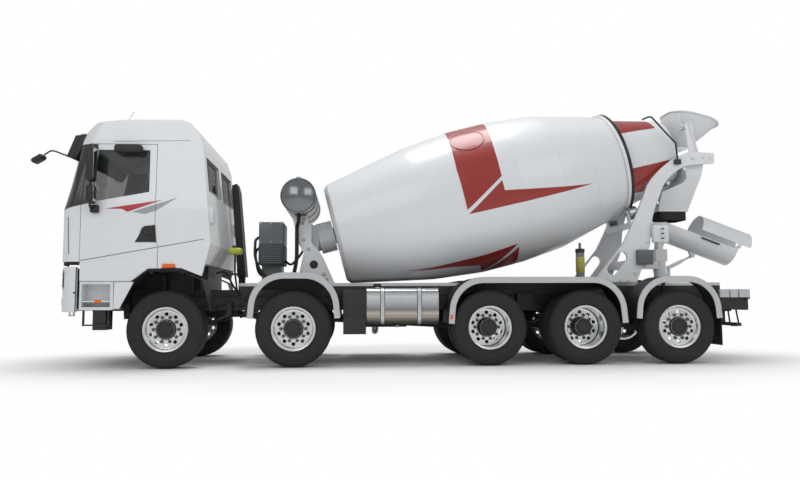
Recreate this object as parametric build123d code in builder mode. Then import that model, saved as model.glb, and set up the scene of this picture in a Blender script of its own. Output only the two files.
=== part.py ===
"""Concrete mixer truck: five axles, tilting cab, turning drum, swivelling chute.

Frame: +X points forward, +Y to the driver's left, +Z up.  The ground is Z = 0 and the origin
lies on it, half-way between the front mirror's tip and the chute's tip.  All sizes are in mm.
"""
from build123d import *
import os
from math import cos, hypot, radians, sin

os.makedirs("parts", exist_ok=True)

# ---------------------------------------------------------------- driving dimensions
FRONT_TIP_X = 5344.0          # front mirror's tip
SIDE_Y = 1250.0               # half the truck's legal width, at tyres and mudguards

AXLE_1_X = 3486.0
AXLE_GAPS = (1700.0, 2700.0, 1350.0, 1350.0)
AXLE_X = [AXLE_1_X - sum(AXLE_GAPS[:n]) for n in range(5)]

RUN_CLEAR = 0.06              # radial clearance of a shaft in its bore
SEAT_GAP = 0.3                # rest gap between pieces of different bodies
SWING_GAP = 6.0               # gap round doors and other swinging pieces

# tyres and rims
TYRE_R = 520.0
BEAD_R = 286.0
RIM_FLANGE_R = 301.0
RIM_WALL = 16.0
SINGLE_W = 385.0
TWIN_W = 296.0
TWIN_PITCH = 336.0
HAND_HOLE_R = 26.0
HAND_HOLE_PCR = 205.0
HAND_HOLES = 10
HUB_R = 118.0

# steered axles
KINGPIN_Y = 972.0
KINGPIN_R = 24.0
KNUCKLE_EYE_H = 110.0
KNUCKLE_ARM = 40.0
SPINDLE_R = 44.0
BEAM_W = 100.0
BEAM_H = 96.0
BEAM_DROP = 70.0
DRIVE_SPINDLE_R = 60.0
DRIVE_TUBE_R = 74.0
DIFF_R = 235.0
PINION_REACH = 330.0
SADDLE_Z = TYRE_R + DRIVE_TUBE_R + 20.0

# chassis
RAIL_OUT_Y = 430.0
RAIL_FLANGE = 90.0
RAIL_WEB = 10.0
RAIL_TOP = 1060.0
RAIL_H = 300.0
RAIL_FRONT_X = 4720.0
RAIL_REAR_X = -4640.0
SUBFRAME_H = 98.0
SUBFRAME_W = 70.0
SUBFRAME_FRONT_X = 2640.0
DECK_Z = RAIL_TOP + SUBFRAME_H
SPRING_Y = (RAIL_OUT_Y + 6.0, RAIL_OUT_Y + 86.0)

# cab
CAB_SIDE_Y = 1240.0
CAB_WALL = 60.0
CAB_SKIRT_Z = 1166.0
CAB_FRONT_Z = 1430.0
CAB_FLOOR_LOW_Z = 1400.0
CAB_FLOOR = 60.0
CAB_REAR_X = 3037.0
CAB_PIVOT_X = 4920.0
CAB_PIVOT_Z = 1240.0
CAB_PIVOT_Y = 425.0
CAB_PIVOT_R = 25.0
DOOR_FRONT_X = 4624.0
DOOR_REAR_X = 3607.0
DOOR_TOP_Z = 3035.0
GLASS = 6.0

# drum
DRUM_TILT = 14.4
DRUM_X = 1248.0
DRUM_Z = 1905.0
DRUM_WALL = 8.0
RING_S = 4470.0
RING_R = 834.0
RING_W = 100.0
ROLLER_R = 100.0
ROLLER_W = 120.0
ROLLER_ANGLE = 28.0
MOUTH_S = 5390.0
MOUTH_R = 515.0
POST_IN_Y = 548.0
POST_W = 56.0

# chute
SWIVEL_X = -3885.0
SWIVEL_R = 60.0
CHUTE_PIVOT_Z = 1760.0
CHUTE_PIVOT_R = 20.0
CHUTE_SLOPE = 20.5
TROUGH_R = 250.0
TROUGH_WALL = 8.0
EDGE_Z = 2110.0               # height of the trough's rims on the swivel axis
TROUGH_UPPER = -195.0         # upper end, along the slope from the swivel axis
TROUGH_LOWER = 1250.0         # lower end, where the extension is hinged
TROUGH_TOP_Z = 2100.0         # level cut of the upper end, under the rubber skirt
EXTENSION_GAP = 6.0
EXTENSION_LENGTH = 830.0
EXTENSION_WRAP = 180.0        # how far the folded extension reaches past its hinge
FOLD_RISE = 45.0              # fold hinge above the trough's rims
FOLD_PIN_R = 10.0
STRUT_LOW = (SWIVEL_X - 145.0, 1400.0)
STRUT_HIGH = (SWIVEL_X - 545.0, 1590.0)
STRUT_PIN_R = 12.0
STRUT_EYE_CLEAR = 7.0         # opened pivot: the rod's eye swings about its pin without touching
COLLECTOR_LOW_Z = 2272.0
SKIRT_LOW_Z = 2140.0


# ---------------------------------------------------------------- small builders
def side_plane(y):
    """Plane of X and Z whose extrusions run towards -Y, starting at the given Y."""
    return Plane(origin=(0, y, 0), x_dir=(1, 0, 0), z_dir=(0, -1, 0))


def prism_y(points, y_low, y_high, mode=Mode.ADD):
    """Extrude an outline of X and Z corners between two stations of Y."""
    with BuildSketch(side_plane(y_high)) as outline:
        with BuildLine():
            Polyline(*points, close=True)
        make_face()
    extrude(outline.sketch, amount=y_high - y_low, mode=mode)


def block(x, y, z, mode=Mode.ADD):
    """Box between pairs of X, Y and Z limits."""
    with Locations(((x[0] + x[1]) / 2, (y[0] + y[1]) / 2, (z[0] + z[1]) / 2)):
        Box(abs(x[1] - x[0]), abs(y[1] - y[0]), abs(z[1] - z[0]), mode=mode)


def pair_block(x, y, z, mode=Mode.ADD):
    """The same box on the left and on the right of the truck."""
    block(x, y, z, mode)
    block(x, (-y[1], -y[0]), z, mode)


def bar_y(x, z, radius, y_low, y_high, mode=Mode.ADD):
    """Round bar or bore along Y."""
    with BuildSketch(side_plane(y_high)) as disc:
        with Locations((x, z)):
            Circle(radius)
    extrude(disc.sketch, amount=y_high - y_low, mode=mode)


def bar_z(x, y, radius, z_low, z_high, mode=Mode.ADD):
    """Round bar or bore along Z."""
    with BuildSketch(Plane.XY.offset(z_low)) as disc:
        with Locations((x, y)):
            Circle(radius)
    extrude(disc.sketch, amount=z_high - z_low, mode=mode)


def strip_y(points, radius, thick, y_low, y_high):
    """Bent sheet: a filleted path of X and Z corners, given a thickness and run along Y."""
    with BuildSketch(side_plane(y_high)) as section:
        with BuildLine():
            FilletPolyline(*points, radius=radius)
        trace(line_width=thick)
    extrude(section.sketch, amount=y_high - y_low)


def finish(part, name):
    """Label a finished piece and write it to its own file."""
    part.label = name
    export_step(part, f"parts/{name}.step")


# ---------------------------------------------------------------- wheels
def revolve_about_axle(points_and_arcs, axle_x):
    """Turn a closed section of (Y, radius) edges about an axle's centre line."""
    plane = Plane(origin=(axle_x, 0, TYRE_R), x_dir=(0, 1, 0), z_dir=(1, 0, 0))
    with BuildSketch(plane) as section:
        with BuildLine():
            for edge in points_and_arcs:
                if len(edge) == 3:
                    ThreePointArc(*edge)
                else:
                    Line(*edge)
        make_face()
    revolve(section.sketch, axis=Axis((axle_x, 0, TYRE_R), (0, 1, 0)))


def tyre_section(centre_y, width):
    """Edges of one hollow tyre's section, as (Y, radius) points from the axle line."""
    half = width / 2
    bead = half - 42.0
    shoulder = half - 34.0
    crown = half - 52.0

    def at(y, r):
        return (centre_y + y, r)

    rim_top = RIM_FLANGE_R + 3.0
    return [
        (at(-bead, BEAD_R), at(-bead, rim_top)),
        (at(-bead, rim_top), at(-half, 392.0), at(-shoulder, TYRE_R - 17.0)),
        (at(-shoulder, TYRE_R - 17.0), at(-crown, TYRE_R - 5.0)),
        (at(-crown, TYRE_R - 5.0), at(0, TYRE_R), at(crown, TYRE_R - 5.0)),
        (at(crown, TYRE_R - 5.0), at(shoulder, TYRE_R - 17.0)),
        (at(shoulder, TYRE_R - 17.0), at(half, 392.0), at(bead, rim_top)),
        (at(bead, rim_top), at(bead, BEAD_R)),
        (at(bead, BEAD_R), at(bead - 24.0, BEAD_R)),
        (at(bead - 24.0, BEAD_R), at(half - 26.0, 392.0), at(shoulder - 24.0, TYRE_R - 34.0)),
        (at(shoulder - 24.0, TYRE_R - 34.0), at(24.0 - shoulder, TYRE_R - 34.0)),
        (at(24.0 - shoulder, TYRE_R - 34.0), at(26.0 - half, 392.0), at(24.0 - bead, BEAD_R)),
        (at(24.0 - bead, BEAD_R), at(-bead, BEAD_R)),
    ]


def closed_edges(corners):
    """Straight edges round a closed run of corners."""
    return [(a, b) for a, b in zip(corners, corners[1:] + corners[:1])]


def barrel_corners(centres, width, disc_y, disc_t, hub_y, bore_r):
    """Corners of the section of one rim, or of twin rims bolted back to back: flanges and
    bead seats, then the barrel's inside, the disc and the hub with its bore."""
    seat_r = BEAD_R - SEAT_GAP
    inner_r = seat_r - RIM_WALL
    bead = width / 2 - 42.0 + SEAT_GAP
    edge = bead + 13.0
    corners = []
    for centre in centres:
        corners += [
            (centre - edge, RIM_FLANGE_R),
            (centre - bead, RIM_FLANGE_R),
            (centre - bead, seat_r),
            (centre + bead, seat_r),
            (centre + bead, RIM_FLANGE_R),
            (centre + edge, RIM_FLANGE_R),
        ]
        if centre != centres[-1]:
            corners += [
                (centre + edge, seat_r),
                (centres[-1] - edge, seat_r),
            ]
    low = disc_y - disc_t / 2
    high = disc_y + disc_t / 2
    corners += [
        (centres[-1] + edge, inner_r),
        (high, inner_r),
        (high, HUB_R),
        (hub_y[1], HUB_R),
        (hub_y[1], bore_r),
        (hub_y[0], bore_r),
        (hub_y[0], HUB_R),
        (low, HUB_R),
        (low, inner_r),
        (centres[0] - edge, inner_r),
    ]
    return corners


def hand_holes(axle_x, y_low, y_high):
    """Ring of round hand holes through a wheel's disc."""
    for n in range(HAND_HOLES):
        turn = radians(360.0 / HAND_HOLES * (n + 0.5))
        bar_y(axle_x + HAND_HOLE_PCR * cos(turn), TYRE_R + HAND_HOLE_PCR * sin(turn),
              HAND_HOLE_R, y_low, y_high, mode=Mode.SUBTRACT)


SINGLE_Y = SIDE_Y - SINGLE_W / 2
SINGLE_DISC_Y = SINGLE_Y + 96.0
SINGLE_HUB = (SINGLE_Y + 6.0, SINGLE_Y + 140.0)
TWIN_OUT_Y = SIDE_Y - TWIN_W / 2
TWIN_IN_Y = TWIN_OUT_Y - TWIN_PITCH
TWIN_DISC_Y = (TWIN_OUT_Y + TWIN_IN_Y) / 2
TWIN_HUB = (TWIN_DISC_Y - 60.0, TWIN_DISC_Y + 190.0)

SINGLE_AXLES = (1, 2, 5)
SIDES = (("left", 1), ("right", -1))

for axle in (1, 2, 3, 4, 5):
    for side, sign in SIDES:
        centre_x = AXLE_X[axle - 1]
        if axle in SINGLE_AXLES:
            centres, width, bore_r = [SINGLE_Y], SINGLE_W, SPINDLE_R + RUN_CLEAR
            disc_y, disc_t, hub_y = SINGLE_DISC_Y, 22.0, SINGLE_HUB
        else:
            centres, width, bore_r = [TWIN_IN_Y, TWIN_OUT_Y], TWIN_W, DRIVE_SPINDLE_R + RUN_CLEAR
            disc_y, disc_t, hub_y = TWIN_DISC_Y, 40.0, TWIN_HUB
        with BuildPart() as wheel:
            for centre in centres:
                revolve_about_axle(tyre_section(centre, width), centre_x)
            rim = barrel_corners(centres, width, disc_y, disc_t, hub_y, bore_r)
            revolve_about_axle(closed_edges(rim), centre_x)
            hand_holes(centre_x, disc_y - disc_t, disc_y + disc_t)
            if sign < 0:
                mirror(about=Plane.XZ, mode=Mode.REPLACE)
        finish(wheel.part, f"wheel_{axle}_{side}")

# ---------------------------------------------------------------- knuckles of the steered axles
ARM_GAP = 1.0
EYE_TOP_Z = TYRE_R + KNUCKLE_EYE_H / 2
EYE_LOW_Z = TYRE_R - KNUCKLE_EYE_H / 2
KNUCKLE_HALF_X = 46.0
KNUCKLE_PLATE_Y = KINGPIN_Y + 62.0

for axle in SINGLE_AXLES:
    for side, sign in SIDES:
        pin_x = AXLE_X[axle - 1]
        span_x = (pin_x - KNUCKLE_HALF_X, pin_x + KNUCKLE_HALF_X)
        with BuildPart() as knuckle:
            for low_z in (EYE_TOP_Z + ARM_GAP, EYE_LOW_Z - ARM_GAP - KNUCKLE_ARM):
                block(span_x, (KINGPIN_Y - 44.0, KNUCKLE_PLATE_Y), (low_z, low_z + KNUCKLE_ARM))
            block(span_x, (KNUCKLE_PLATE_Y, KNUCKLE_PLATE_Y + 20.0),
                  (EYE_LOW_Z - ARM_GAP - KNUCKLE_ARM, EYE_TOP_Z + ARM_GAP + KNUCKLE_ARM))
            bar_z(pin_x, KINGPIN_Y, KINGPIN_R, EYE_LOW_Z - ARM_GAP - KNUCKLE_ARM,
                  EYE_TOP_Z + ARM_GAP + KNUCKLE_ARM)
            bar_y(pin_x, TYRE_R, SPINDLE_R, KNUCKLE_PLATE_Y + 10.0, SINGLE_HUB[1] - 4.0)
            if sign < 0:
                mirror(about=Plane.XZ, mode=Mode.REPLACE)
        finish(knuckle.part, f"knuckle_{axle}_{side}")

# ---------------------------------------------------------------- steered axle beams
BEAM_TOP_Z = TYRE_R + BEAM_H / 2 - BEAM_DROP
with BuildPart() as steer_axles:
    for axle in SINGLE_AXLES:
        x = AXLE_X[axle - 1]
        half = BEAM_W / 2
        block((x - half, x + half), (-640, 640), (BEAM_TOP_Z - BEAM_H, BEAM_TOP_Z))
        pair_block((x - half, x + half), (600, 760), (BEAM_TOP_Z - BEAM_H, EYE_TOP_Z))
        pair_block((x - half, x + half), (740, KINGPIN_Y), (EYE_LOW_Z, EYE_TOP_Z))
        for y in (KINGPIN_Y, -KINGPIN_Y):
            bar_z(x, y, 40.0, EYE_LOW_Z, EYE_TOP_Z)
            bar_z(x, y, KINGPIN_R + RUN_CLEAR, EYE_LOW_Z, EYE_TOP_Z, mode=Mode.SUBTRACT)
finish(steer_axles.part, "steer_axles")

# ---------------------------------------------------------------- drive axles
with BuildPart() as drive_axles:
    for axle in (3, 4):
        x = AXLE_X[axle - 1]
        bar_y(x, TYRE_R, DRIVE_TUBE_R, -TWIN_HUB[0] + 40.0, TWIN_HUB[0] - 40.0)
        bar_y(x, TYRE_R, DRIVE_SPINDLE_R, -TWIN_HUB[1] + 4.0, TWIN_HUB[1] - 4.0)
        with Locations((x, 0, TYRE_R)):
            Sphere(DIFF_R)
        block((x, x + PINION_REACH), (-90, 90), (TYRE_R - 90.0, TYRE_R + 90.0))
        pair_block((x - 60.0, x + 60.0), SPRING_Y, (TYRE_R, SADDLE_Z))
finish(drive_axles.part, "drive_axles")

# ---------------------------------------------------------------- springs and hangers
LEAF_HALF = 720.0
LEAF_T = 56.0
RAIL_LOW_Z = RAIL_TOP - RAIL_H


def leaf_spring(centre_x, seat_z, end_z, half_length, thick):
    """Curved leaf pack resting on a seat, with its ends at the given height."""
    for y_low, y_high in (SPRING_Y, (-SPRING_Y[1], -SPRING_Y[0])):
        with BuildSketch(side_plane(y_high)) as pack:
            with BuildLine():
                low = ThreePointArc((centre_x - half_length, end_z), (centre_x, seat_z),
                                    (centre_x + half_length, end_z))
                high = ThreePointArc((centre_x - half_length, end_z + thick / 3),
                                     (centre_x, seat_z + thick),
                                     (centre_x + half_length, end_z + thick / 3))
                Line(low @ 0, high @ 0)
                Line(low @ 1, high @ 1)
            make_face()
        extrude(pack.sketch, amount=y_high - y_low)


HANGER_Y = (RAIL_OUT_Y, RAIL_OUT_Y + 92.0)
with BuildPart() as suspension:
    for axle in (1, 2):
        x = AXLE_X[axle - 1]
        leaf_spring(x, BEAM_TOP_Z, RAIL_LOW_Z - 60.0, LEAF_HALF, LEAF_T)
        for end in (-LEAF_HALF, LEAF_HALF):
            pair_block((x + end - 40.0, x + end + 40.0), HANGER_Y,
                       (RAIL_LOW_Z - 70.0, RAIL_LOW_Z + 120.0))
    bogie_x = (AXLE_X[2] + AXLE_X[3]) / 2
    bogie_half = (AXLE_X[2] - AXLE_X[3]) / 2 + 60.0
    leaf_spring(bogie_x, SADDLE_Z + 130.0, SADDLE_Z, bogie_half, 100.0)
    pair_block((bogie_x - 130.0, bogie_x + 130.0), HANGER_Y, (SADDLE_Z + 180.0, RAIL_TOP - 60.0))
    for axle in (3, 4):
        x = AXLE_X[axle - 1]
        pair_block((x - 60.0, x + 60.0), SPRING_Y, (SADDLE_Z, SADDLE_Z + 40.0))
    for y in (RAIL_OUT_Y - 45.0, 45.0 - RAIL_OUT_Y):
        bar_z(AXLE_X[4], y, 105.0, BEAM_TOP_Z, RAIL_LOW_Z)
finish(suspension.part, "suspension")

# ---------------------------------------------------------------- chassis frame
CROSS_X = (4650.0, 2560.0, 1150.0, 100.0, -1589.0, -2939.0, -4380.0)
with BuildPart() as chassis_frame:
    rail_x = (RAIL_REAR_X, RAIL_FRONT_X)
    pair_block(rail_x, (RAIL_OUT_Y - RAIL_FLANGE, RAIL_OUT_Y), (RAIL_LOW_Z, RAIL_TOP))
    pair_block(rail_x, (RAIL_OUT_Y - RAIL_FLANGE, RAIL_OUT_Y - RAIL_WEB),
               (RAIL_LOW_Z + RAIL_WEB, RAIL_TOP - RAIL_WEB), mode=Mode.SUBTRACT)
    for x in CROSS_X:
        block((x - 40.0, x + 40.0), (RAIL_WEB - RAIL_OUT_Y, RAIL_OUT_Y - RAIL_WEB),
              (RAIL_LOW_Z + 60.0, RAIL_TOP - 60.0))
    # rear cab mount and the two front cab pivot brackets
    block((3060.0, 3160.0), (-560, 560), (RAIL_TOP, CAB_FLOOR_LOW_Z - SEAT_GAP))
    for y in (CAB_PIVOT_Y, -CAB_PIVOT_Y):
        prism_y([(4560.0, RAIL_TOP), (RAIL_FRONT_X, RAIL_TOP), (CAB_PIVOT_X + 38.0, CAB_PIVOT_Z - 30.0),
                 (CAB_PIVOT_X + 38.0, CAB_PIVOT_Z + 10.0), (CAB_PIVOT_X + 18.0, CAB_PIVOT_Z + 36.0),
                 (CAB_PIVOT_X - 18.0, CAB_PIVOT_Z + 36.0), (CAB_PIVOT_X - 38.0, CAB_PIVOT_Z + 10.0),
                 (CAB_PIVOT_X - 60.0, CAB_PIVOT_Z - 60.0)], y - 30.0, y + 30.0)
        bar_y(CAB_PIVOT_X, CAB_PIVOT_Z, CAB_PIVOT_R + RUN_CLEAR, y - 30.0, y + 30.0,
              mode=Mode.SUBTRACT)
finish(chassis_frame.part, "chassis_frame")

# ---------------------------------------------------------------- engine and drive line
with BuildPart() as engine:
    block((3240.0, 4300.0), (-330, 330), (640.0, 1320.0))
finish(engine.part, "engine")

GEARBOX_X = (2680.0, 3239.7)
FLANGE_T = 30.0
with BuildPart() as drive_line:
    block(GEARBOX_X, (-210, 210), (660.0, 1040.0))
    shafts = (
        (GEARBOX_X[0], 700.0, AXLE_X[2] + PINION_REACH + SEAT_GAP),
        (AXLE_X[2] - DIFF_R - SEAT_GAP, TYRE_R, AXLE_X[3] + PINION_REACH + SEAT_GAP),
    )
    for front_x, front_z, rear_x in shafts:
        near_x = front_x - FLANGE_T
        far_x = rear_x + FLANGE_T
        for flange_x, flange_z in ((near_x, front_z), (rear_x, TYRE_R)):
            with BuildSketch(Plane.YZ.offset(flange_x)) as flange:
                with Locations((0, flange_z)):
                    Circle(62.0)
            extrude(flange.sketch, amount=FLANGE_T)
        slope = Plane(origin=(near_x + 8.0, 0, front_z), x_dir=(0, 1, 0),
                      z_dir=(far_x - near_x, 0, TYRE_R - front_z))
        with BuildSketch(slope) as tube:
            Circle(48.0)
        extrude(tube.sketch, amount=hypot(far_x - near_x, TYRE_R - front_z) + 20.0)
finish(drive_line.part, "drive_line")

# ---------------------------------------------------------------- sub-frame and its pedestals
DRUM_COS = cos(radians(DRUM_TILT))
DRUM_SIN = sin(radians(DRUM_TILT))
DRUM_FRONT = (DRUM_X, 0, DRUM_Z)
DRUM_AXIS_DIR = (-DRUM_COS, 0, DRUM_SIN)
# section plane: local x runs along the drum from its front head, local y is the radius upward
DRUM_SECTION = Plane(origin=DRUM_FRONT, x_dir=DRUM_AXIS_DIR, z_dir=(0, 1, 0))
# cross plane: local x is Y, local y points down, its normal runs rearward along the drum
DRUM_CROSS = Plane(origin=DRUM_FRONT, x_dir=(0, 1, 0), z_dir=DRUM_AXIS_DIR)

ROLLER_Y = (RING_R + ROLLER_R + SEAT_GAP) * sin(radians(ROLLER_ANGLE))
ROLLER_DOWN = (RING_R + ROLLER_R + SEAT_GAP) * cos(radians(ROLLER_ANGLE))
JOURNAL_R = 30.0
CHEEK_T = 24.0
CHEEK_GAP = 3.0


def cross_box(y, down, s_low, s_high, mode=Mode.ADD):
    """Box set square to the drum: limits across, below the axis and along it."""
    with BuildSketch(DRUM_CROSS.offset(s_low)) as outline:
        with Locations(((y[0] + y[1]) / 2, (down[0] + down[1]) / 2)):
            Rectangle(y[1] - y[0], down[1] - down[0])
    extrude(outline.sketch, amount=s_high - s_low, mode=mode)


def cross_disc(y, down, radius, s_low, s_high, mode=Mode.ADD):
    """Round bar or bore parallel to the drum's axis."""
    with BuildSketch(DRUM_CROSS.offset(s_low)) as disc:
        with Locations((y, down)):
            Circle(radius)
    extrude(disc.sketch, amount=s_high - s_low, mode=mode)


SUBFRAME_Y = (RAIL_OUT_Y - SUBFRAME_W, RAIL_OUT_Y)
FRONT_POST_Y = 385.0
FRONT_POST_T = 40.0
with BuildPart() as subframe:
    pair_block((RAIL_REAR_X, SUBFRAME_FRONT_X), SUBFRAME_Y, (RAIL_TOP, DECK_Z))
    for x in (SUBFRAME_FRONT_X - 40.0, 1950.0, 350.0, -1589.0, -3700.0, RAIL_REAR_X + 40.0):
        block((x - 40.0, x + 40.0), (-RAIL_OUT_Y, RAIL_OUT_Y), (RAIL_TOP + 14.0, DECK_Z))
    # front pedestal: two plates carry the gearbox's cross plate and the water tank
    for y in (-FRONT_POST_Y, FRONT_POST_Y):
        y_pair = (y - FRONT_POST_T / 2, y + FRONT_POST_T / 2)
        prism_y([(1800.0, DECK_Z), (1255.0, DECK_Z), (1457.0, 1603.0), (1590.0, 1760.0),
                 (1650.0, 2150.0), (1876.0, 2150.0), (1790.0, 1760.0), (1706.0, 1603.0)], *y_pair)
        bar_y(1554.0, 1431.0, 62.0, *y_pair, mode=Mode.SUBTRACT)
    block((1590.0, 1630.0), (-FRONT_POST_Y, FRONT_POST_Y), (DECK_Z, 2060.0))
    # rear pedestal: foot beam, two swept posts and their top cross-bar
    block((-3180.0, -2690.0), (-POST_IN_Y - POST_W, POST_IN_Y + POST_W), (DECK_Z, 1220.0))
    for y_low in (POST_IN_Y, -POST_IN_Y - POST_W):
        with BuildSketch(side_plane(y_low + POST_W)) as post:
            with BuildLine():
                Polyline((-4151.0, 2941.0), (-4539.0, 2977.0), (-4539.0, 3131.0), (-4151.0, 3148.0))
                ThreePointArc((-4151.0, 3148.0), (-3742.0, 2926.0), (-3467.0, 2620.0))
                ThreePointArc((-3467.0, 2620.0), (-3300.0, 2200.0), (-3066.0, 1725.0))
                Polyline((-3066.0, 1725.0), (-2598.0, DECK_Z), (-3269.0, DECK_Z), (-3493.0, 1725.0))
                ThreePointArc((-3493.0, 1725.0), (-3527.0, 2080.0), (-3660.0, 2468.0))
                ThreePointArc((-3660.0, 2468.0), (-3860.0, 2790.0), (-4151.0, 2941.0))
            make_face()
        extrude(post.sketch, amount=POST_W)
        with BuildSketch(side_plane(y_low + POST_W)) as opening:
            with Locations(Location((-2975.0, 1440.0), -52.0)):
                SlotOverall(400.0, 170.0)
        extrude(opening.sketch, amount=POST_W, mode=Mode.SUBTRACT)
    block((-4539.0, -4460.0), (-POST_IN_Y, POST_IN_Y), (3034.0, 3120.0))
    # roller beam between the posts, and each roller's two bearing cheeks
    beam_down = (ROLLER_DOWN + ROLLER_R + 25.0, ROLLER_DOWN + ROLLER_R + 125.0)
    cross_box((-POST_IN_Y, POST_IN_Y), beam_down, RING_S - 110.0, RING_S + 110.0)
    for y in (ROLLER_Y, -ROLLER_Y):
        for s_low in (RING_S - ROLLER_W / 2 - CHEEK_GAP - CHEEK_T, RING_S + ROLLER_W / 2 + CHEEK_GAP):
            cross_box((y - 45.0, y + 45.0), (ROLLER_DOWN - 55.0, beam_down[0] + 5.0),
                      s_low, s_low + CHEEK_T)
            cross_disc(y, ROLLER_DOWN, JOURNAL_R + RUN_CLEAR, s_low, s_low + CHEEK_T,
                       mode=Mode.SUBTRACT)
    # bracket and sleeve of the chute's swivel column
    block((-3269.0, SWIVEL_X + 60.0), (-90, 90), (1380.0, 1500.0))
    block((-3440.0, -3240.0), (-POST_IN_Y, POST_IN_Y), (1380.0, 1500.0))
    bar_z(SWIVEL_X, 0, 95.0, 1320.0, 1500.0)
    bar_z(SWIVEL_X, 0, 60.0 + RUN_CLEAR, 1320.0, 1500.0, mode=Mode.SUBTRACT)
finish(subframe.part, "subframe")

# ---------------------------------------------------------------- drum, its gearbox and rollers
DRUM_PROFILE = (
    # along the axis, outer radius
    (0.0, 740.0),
    (60.0, 780.0),
    (1300.0, 1040.0),
    (2050.0, 1122.0),
    (2750.0, 1124.0),
    (3400.0, 1062.0),
    (RING_S - 50.0, 806.0),
    (RING_S + 50.0, 728.0),
    (MOUTH_S, MOUTH_R),
)
TRUNNION_R = 90.0
TRUNNION_LENGTH = 190.0
GEARBOX_GAP = 14.0

with BuildPart() as drum:
    with BuildSketch(DRUM_SECTION) as shell:
        with BuildLine():
            Polyline(*DRUM_PROFILE)
            Line((MOUTH_S, MOUTH_R), (MOUTH_S, MOUTH_R - DRUM_WALL))
            Polyline(*[(s, r - DRUM_WALL) for s, r in reversed(DRUM_PROFILE[1:])],
                     (DRUM_WALL, 740.0 - DRUM_WALL), (DRUM_WALL, 0.0))
            Polyline((DRUM_WALL, 0.0), (-TRUNNION_LENGTH, 0.0), (-TRUNNION_LENGTH, TRUNNION_R),
                     (0.0, TRUNNION_R), (0.0, 740.0))
        make_face()
    revolve(shell.sketch, axis=Axis(DRUM_FRONT, DRUM_AXIS_DIR))
    with BuildSketch(DRUM_SECTION) as ring:
        with Locations((RING_S, RING_R - 20.0)):
            Rectangle(RING_W, 40.0)
        with Locations((RING_S, RING_R - 45.0)):
            Rectangle(30.0, 40.0)
    revolve(ring.sketch, axis=Axis(DRUM_FRONT, DRUM_AXIS_DIR))
finish(drum.part, "drum")

with BuildPart() as drum_gearbox:
    cross_disc(0, 0, 235.0, -250.0, -GEARBOX_GAP)
    cross_disc(0, 0, 180.0, -330.0, -250.0)
    prism_y([(1500.0, 1560.0), (1589.7, 1560.0), (1589.7, 2040.0), (1480.0, 2040.0)], -200, 200)
    cross_disc(0, 0, TRUNNION_R + RUN_CLEAR, -TRUNNION_LENGTH - 2.0, -GEARBOX_GAP,
               mode=Mode.SUBTRACT)
    block((1589.7, 2000.0), (-400, 400), (1500.0, 2200.0), mode=Mode.SUBTRACT)
finish(drum_gearbox.part, "drum_gearbox")

for side, sign in SIDES:
    with BuildPart() as roller:
        y = sign * ROLLER_Y
        cross_disc(y, ROLLER_DOWN, ROLLER_R, RING_S - ROLLER_W / 2, RING_S + ROLLER_W / 2)
        half = ROLLER_W / 2 + CHEEK_GAP + CHEEK_T + 4.0
        cross_disc(y, ROLLER_DOWN, JOURNAL_R, RING_S - half, RING_S + half)
    finish(roller.part, f"drum_roller_{side}")

# ---------------------------------------------------------------- charge hopper
HOPPER_WALL = 8.0


def funnel(inset):
    """Scoop-shaped funnel: its mouth is rounded at the rear and slopes down to it."""
    mouth = Plane(origin=(-4455.0, 0, 3785.0), x_dir=(-cos(radians(15.0)), 0, -sin(radians(15.0))),
                  z_dir=(-sin(radians(15.0)), 0, cos(radians(15.0))))
    throat = Plane(origin=(-4215.0, 0, 3300.0), x_dir=(-1, 0, 0), z_dir=(0, 0, 1))
    with BuildPart(mode=Mode.PRIVATE) as body:
        with BuildSketch(throat):
            RectangleRounded(300.0 - inset, 480.0 - inset, 110.0 - inset / 4)
        with BuildSketch(mouth):
            RectangleRounded(810.0 - inset, 860.0 - inset, 330.0 - inset / 4)
        loft()
    return body.part


with BuildPart() as hopper:
    add(funnel(0.0))
    add(funnel(2 * HOPPER_WALL), mode=Mode.SUBTRACT)
    for y in (-POST_IN_Y - 8.0, POST_IN_Y):
        prism_y([(-4160.0, 3147.9), (-4300.0, 3141.8), (-4230.0, 3600.0), (-4110.0, 3600.0)],
                y, y + 8.0)
    for y_low, y_high in ((POST_IN_Y - 260.0, POST_IN_Y + 4.0), (-POST_IN_Y - 4.0, 260.0 - POST_IN_Y)):
        bar_y(-4180.0, 3560.0, 18.0, y_low, y_high)
finish(hopper.part, "charge_hopper")

# ---------------------------------------------------------------- discharge collector and skirt
COLLECTOR_SIDE = (
    (-3795.0, COLLECTOR_LOW_Z - 20.0),
    (-4262.0, COLLECTOR_LOW_Z - 20.0),
    (-4270.0, COLLECTOR_LOW_Z),
    (-4430.0, 3048.0),
    (-4085.0, 3048.0),
    (-4150.0, 2750.0),
    (-4100.0, 2690.0),
    (-3805.0, 2560.0),
)
COLLECTOR_TOP_Z = 3028.0
COLLECTOR_WALL = 8.0


def collector_volume(inset):
    """Side outline crossed with a front outline that narrows towards the outlet."""
    with BuildPart(mode=Mode.PRIVATE) as body:
        with BuildSketch(side_plane(600.0)) as side:
            with BuildLine():
                Polyline(*COLLECTOR_SIDE, close=True)
            make_face()
            if inset:
                offset(amount=-inset, mode=Mode.REPLACE)
        extrude(side.sketch, amount=1200.0)
        with BuildSketch(Plane.YZ.offset(-5000.0)) as front:
            with BuildLine():
                Polyline((-240.0 + inset, 2200.0), (240.0 - inset, 2200.0), (240.0 - inset, 2300.0),
                         (500.0 - inset, 2800.0), (500.0 - inset, 3100.0), (inset - 500.0, 3100.0),
                         (inset - 500.0, 2800.0), (inset - 240.0, 2300.0), close=True)
            make_face()
        extrude(front.sketch, amount=1500.0, mode=Mode.INTERSECT)
    return body.part


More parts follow.
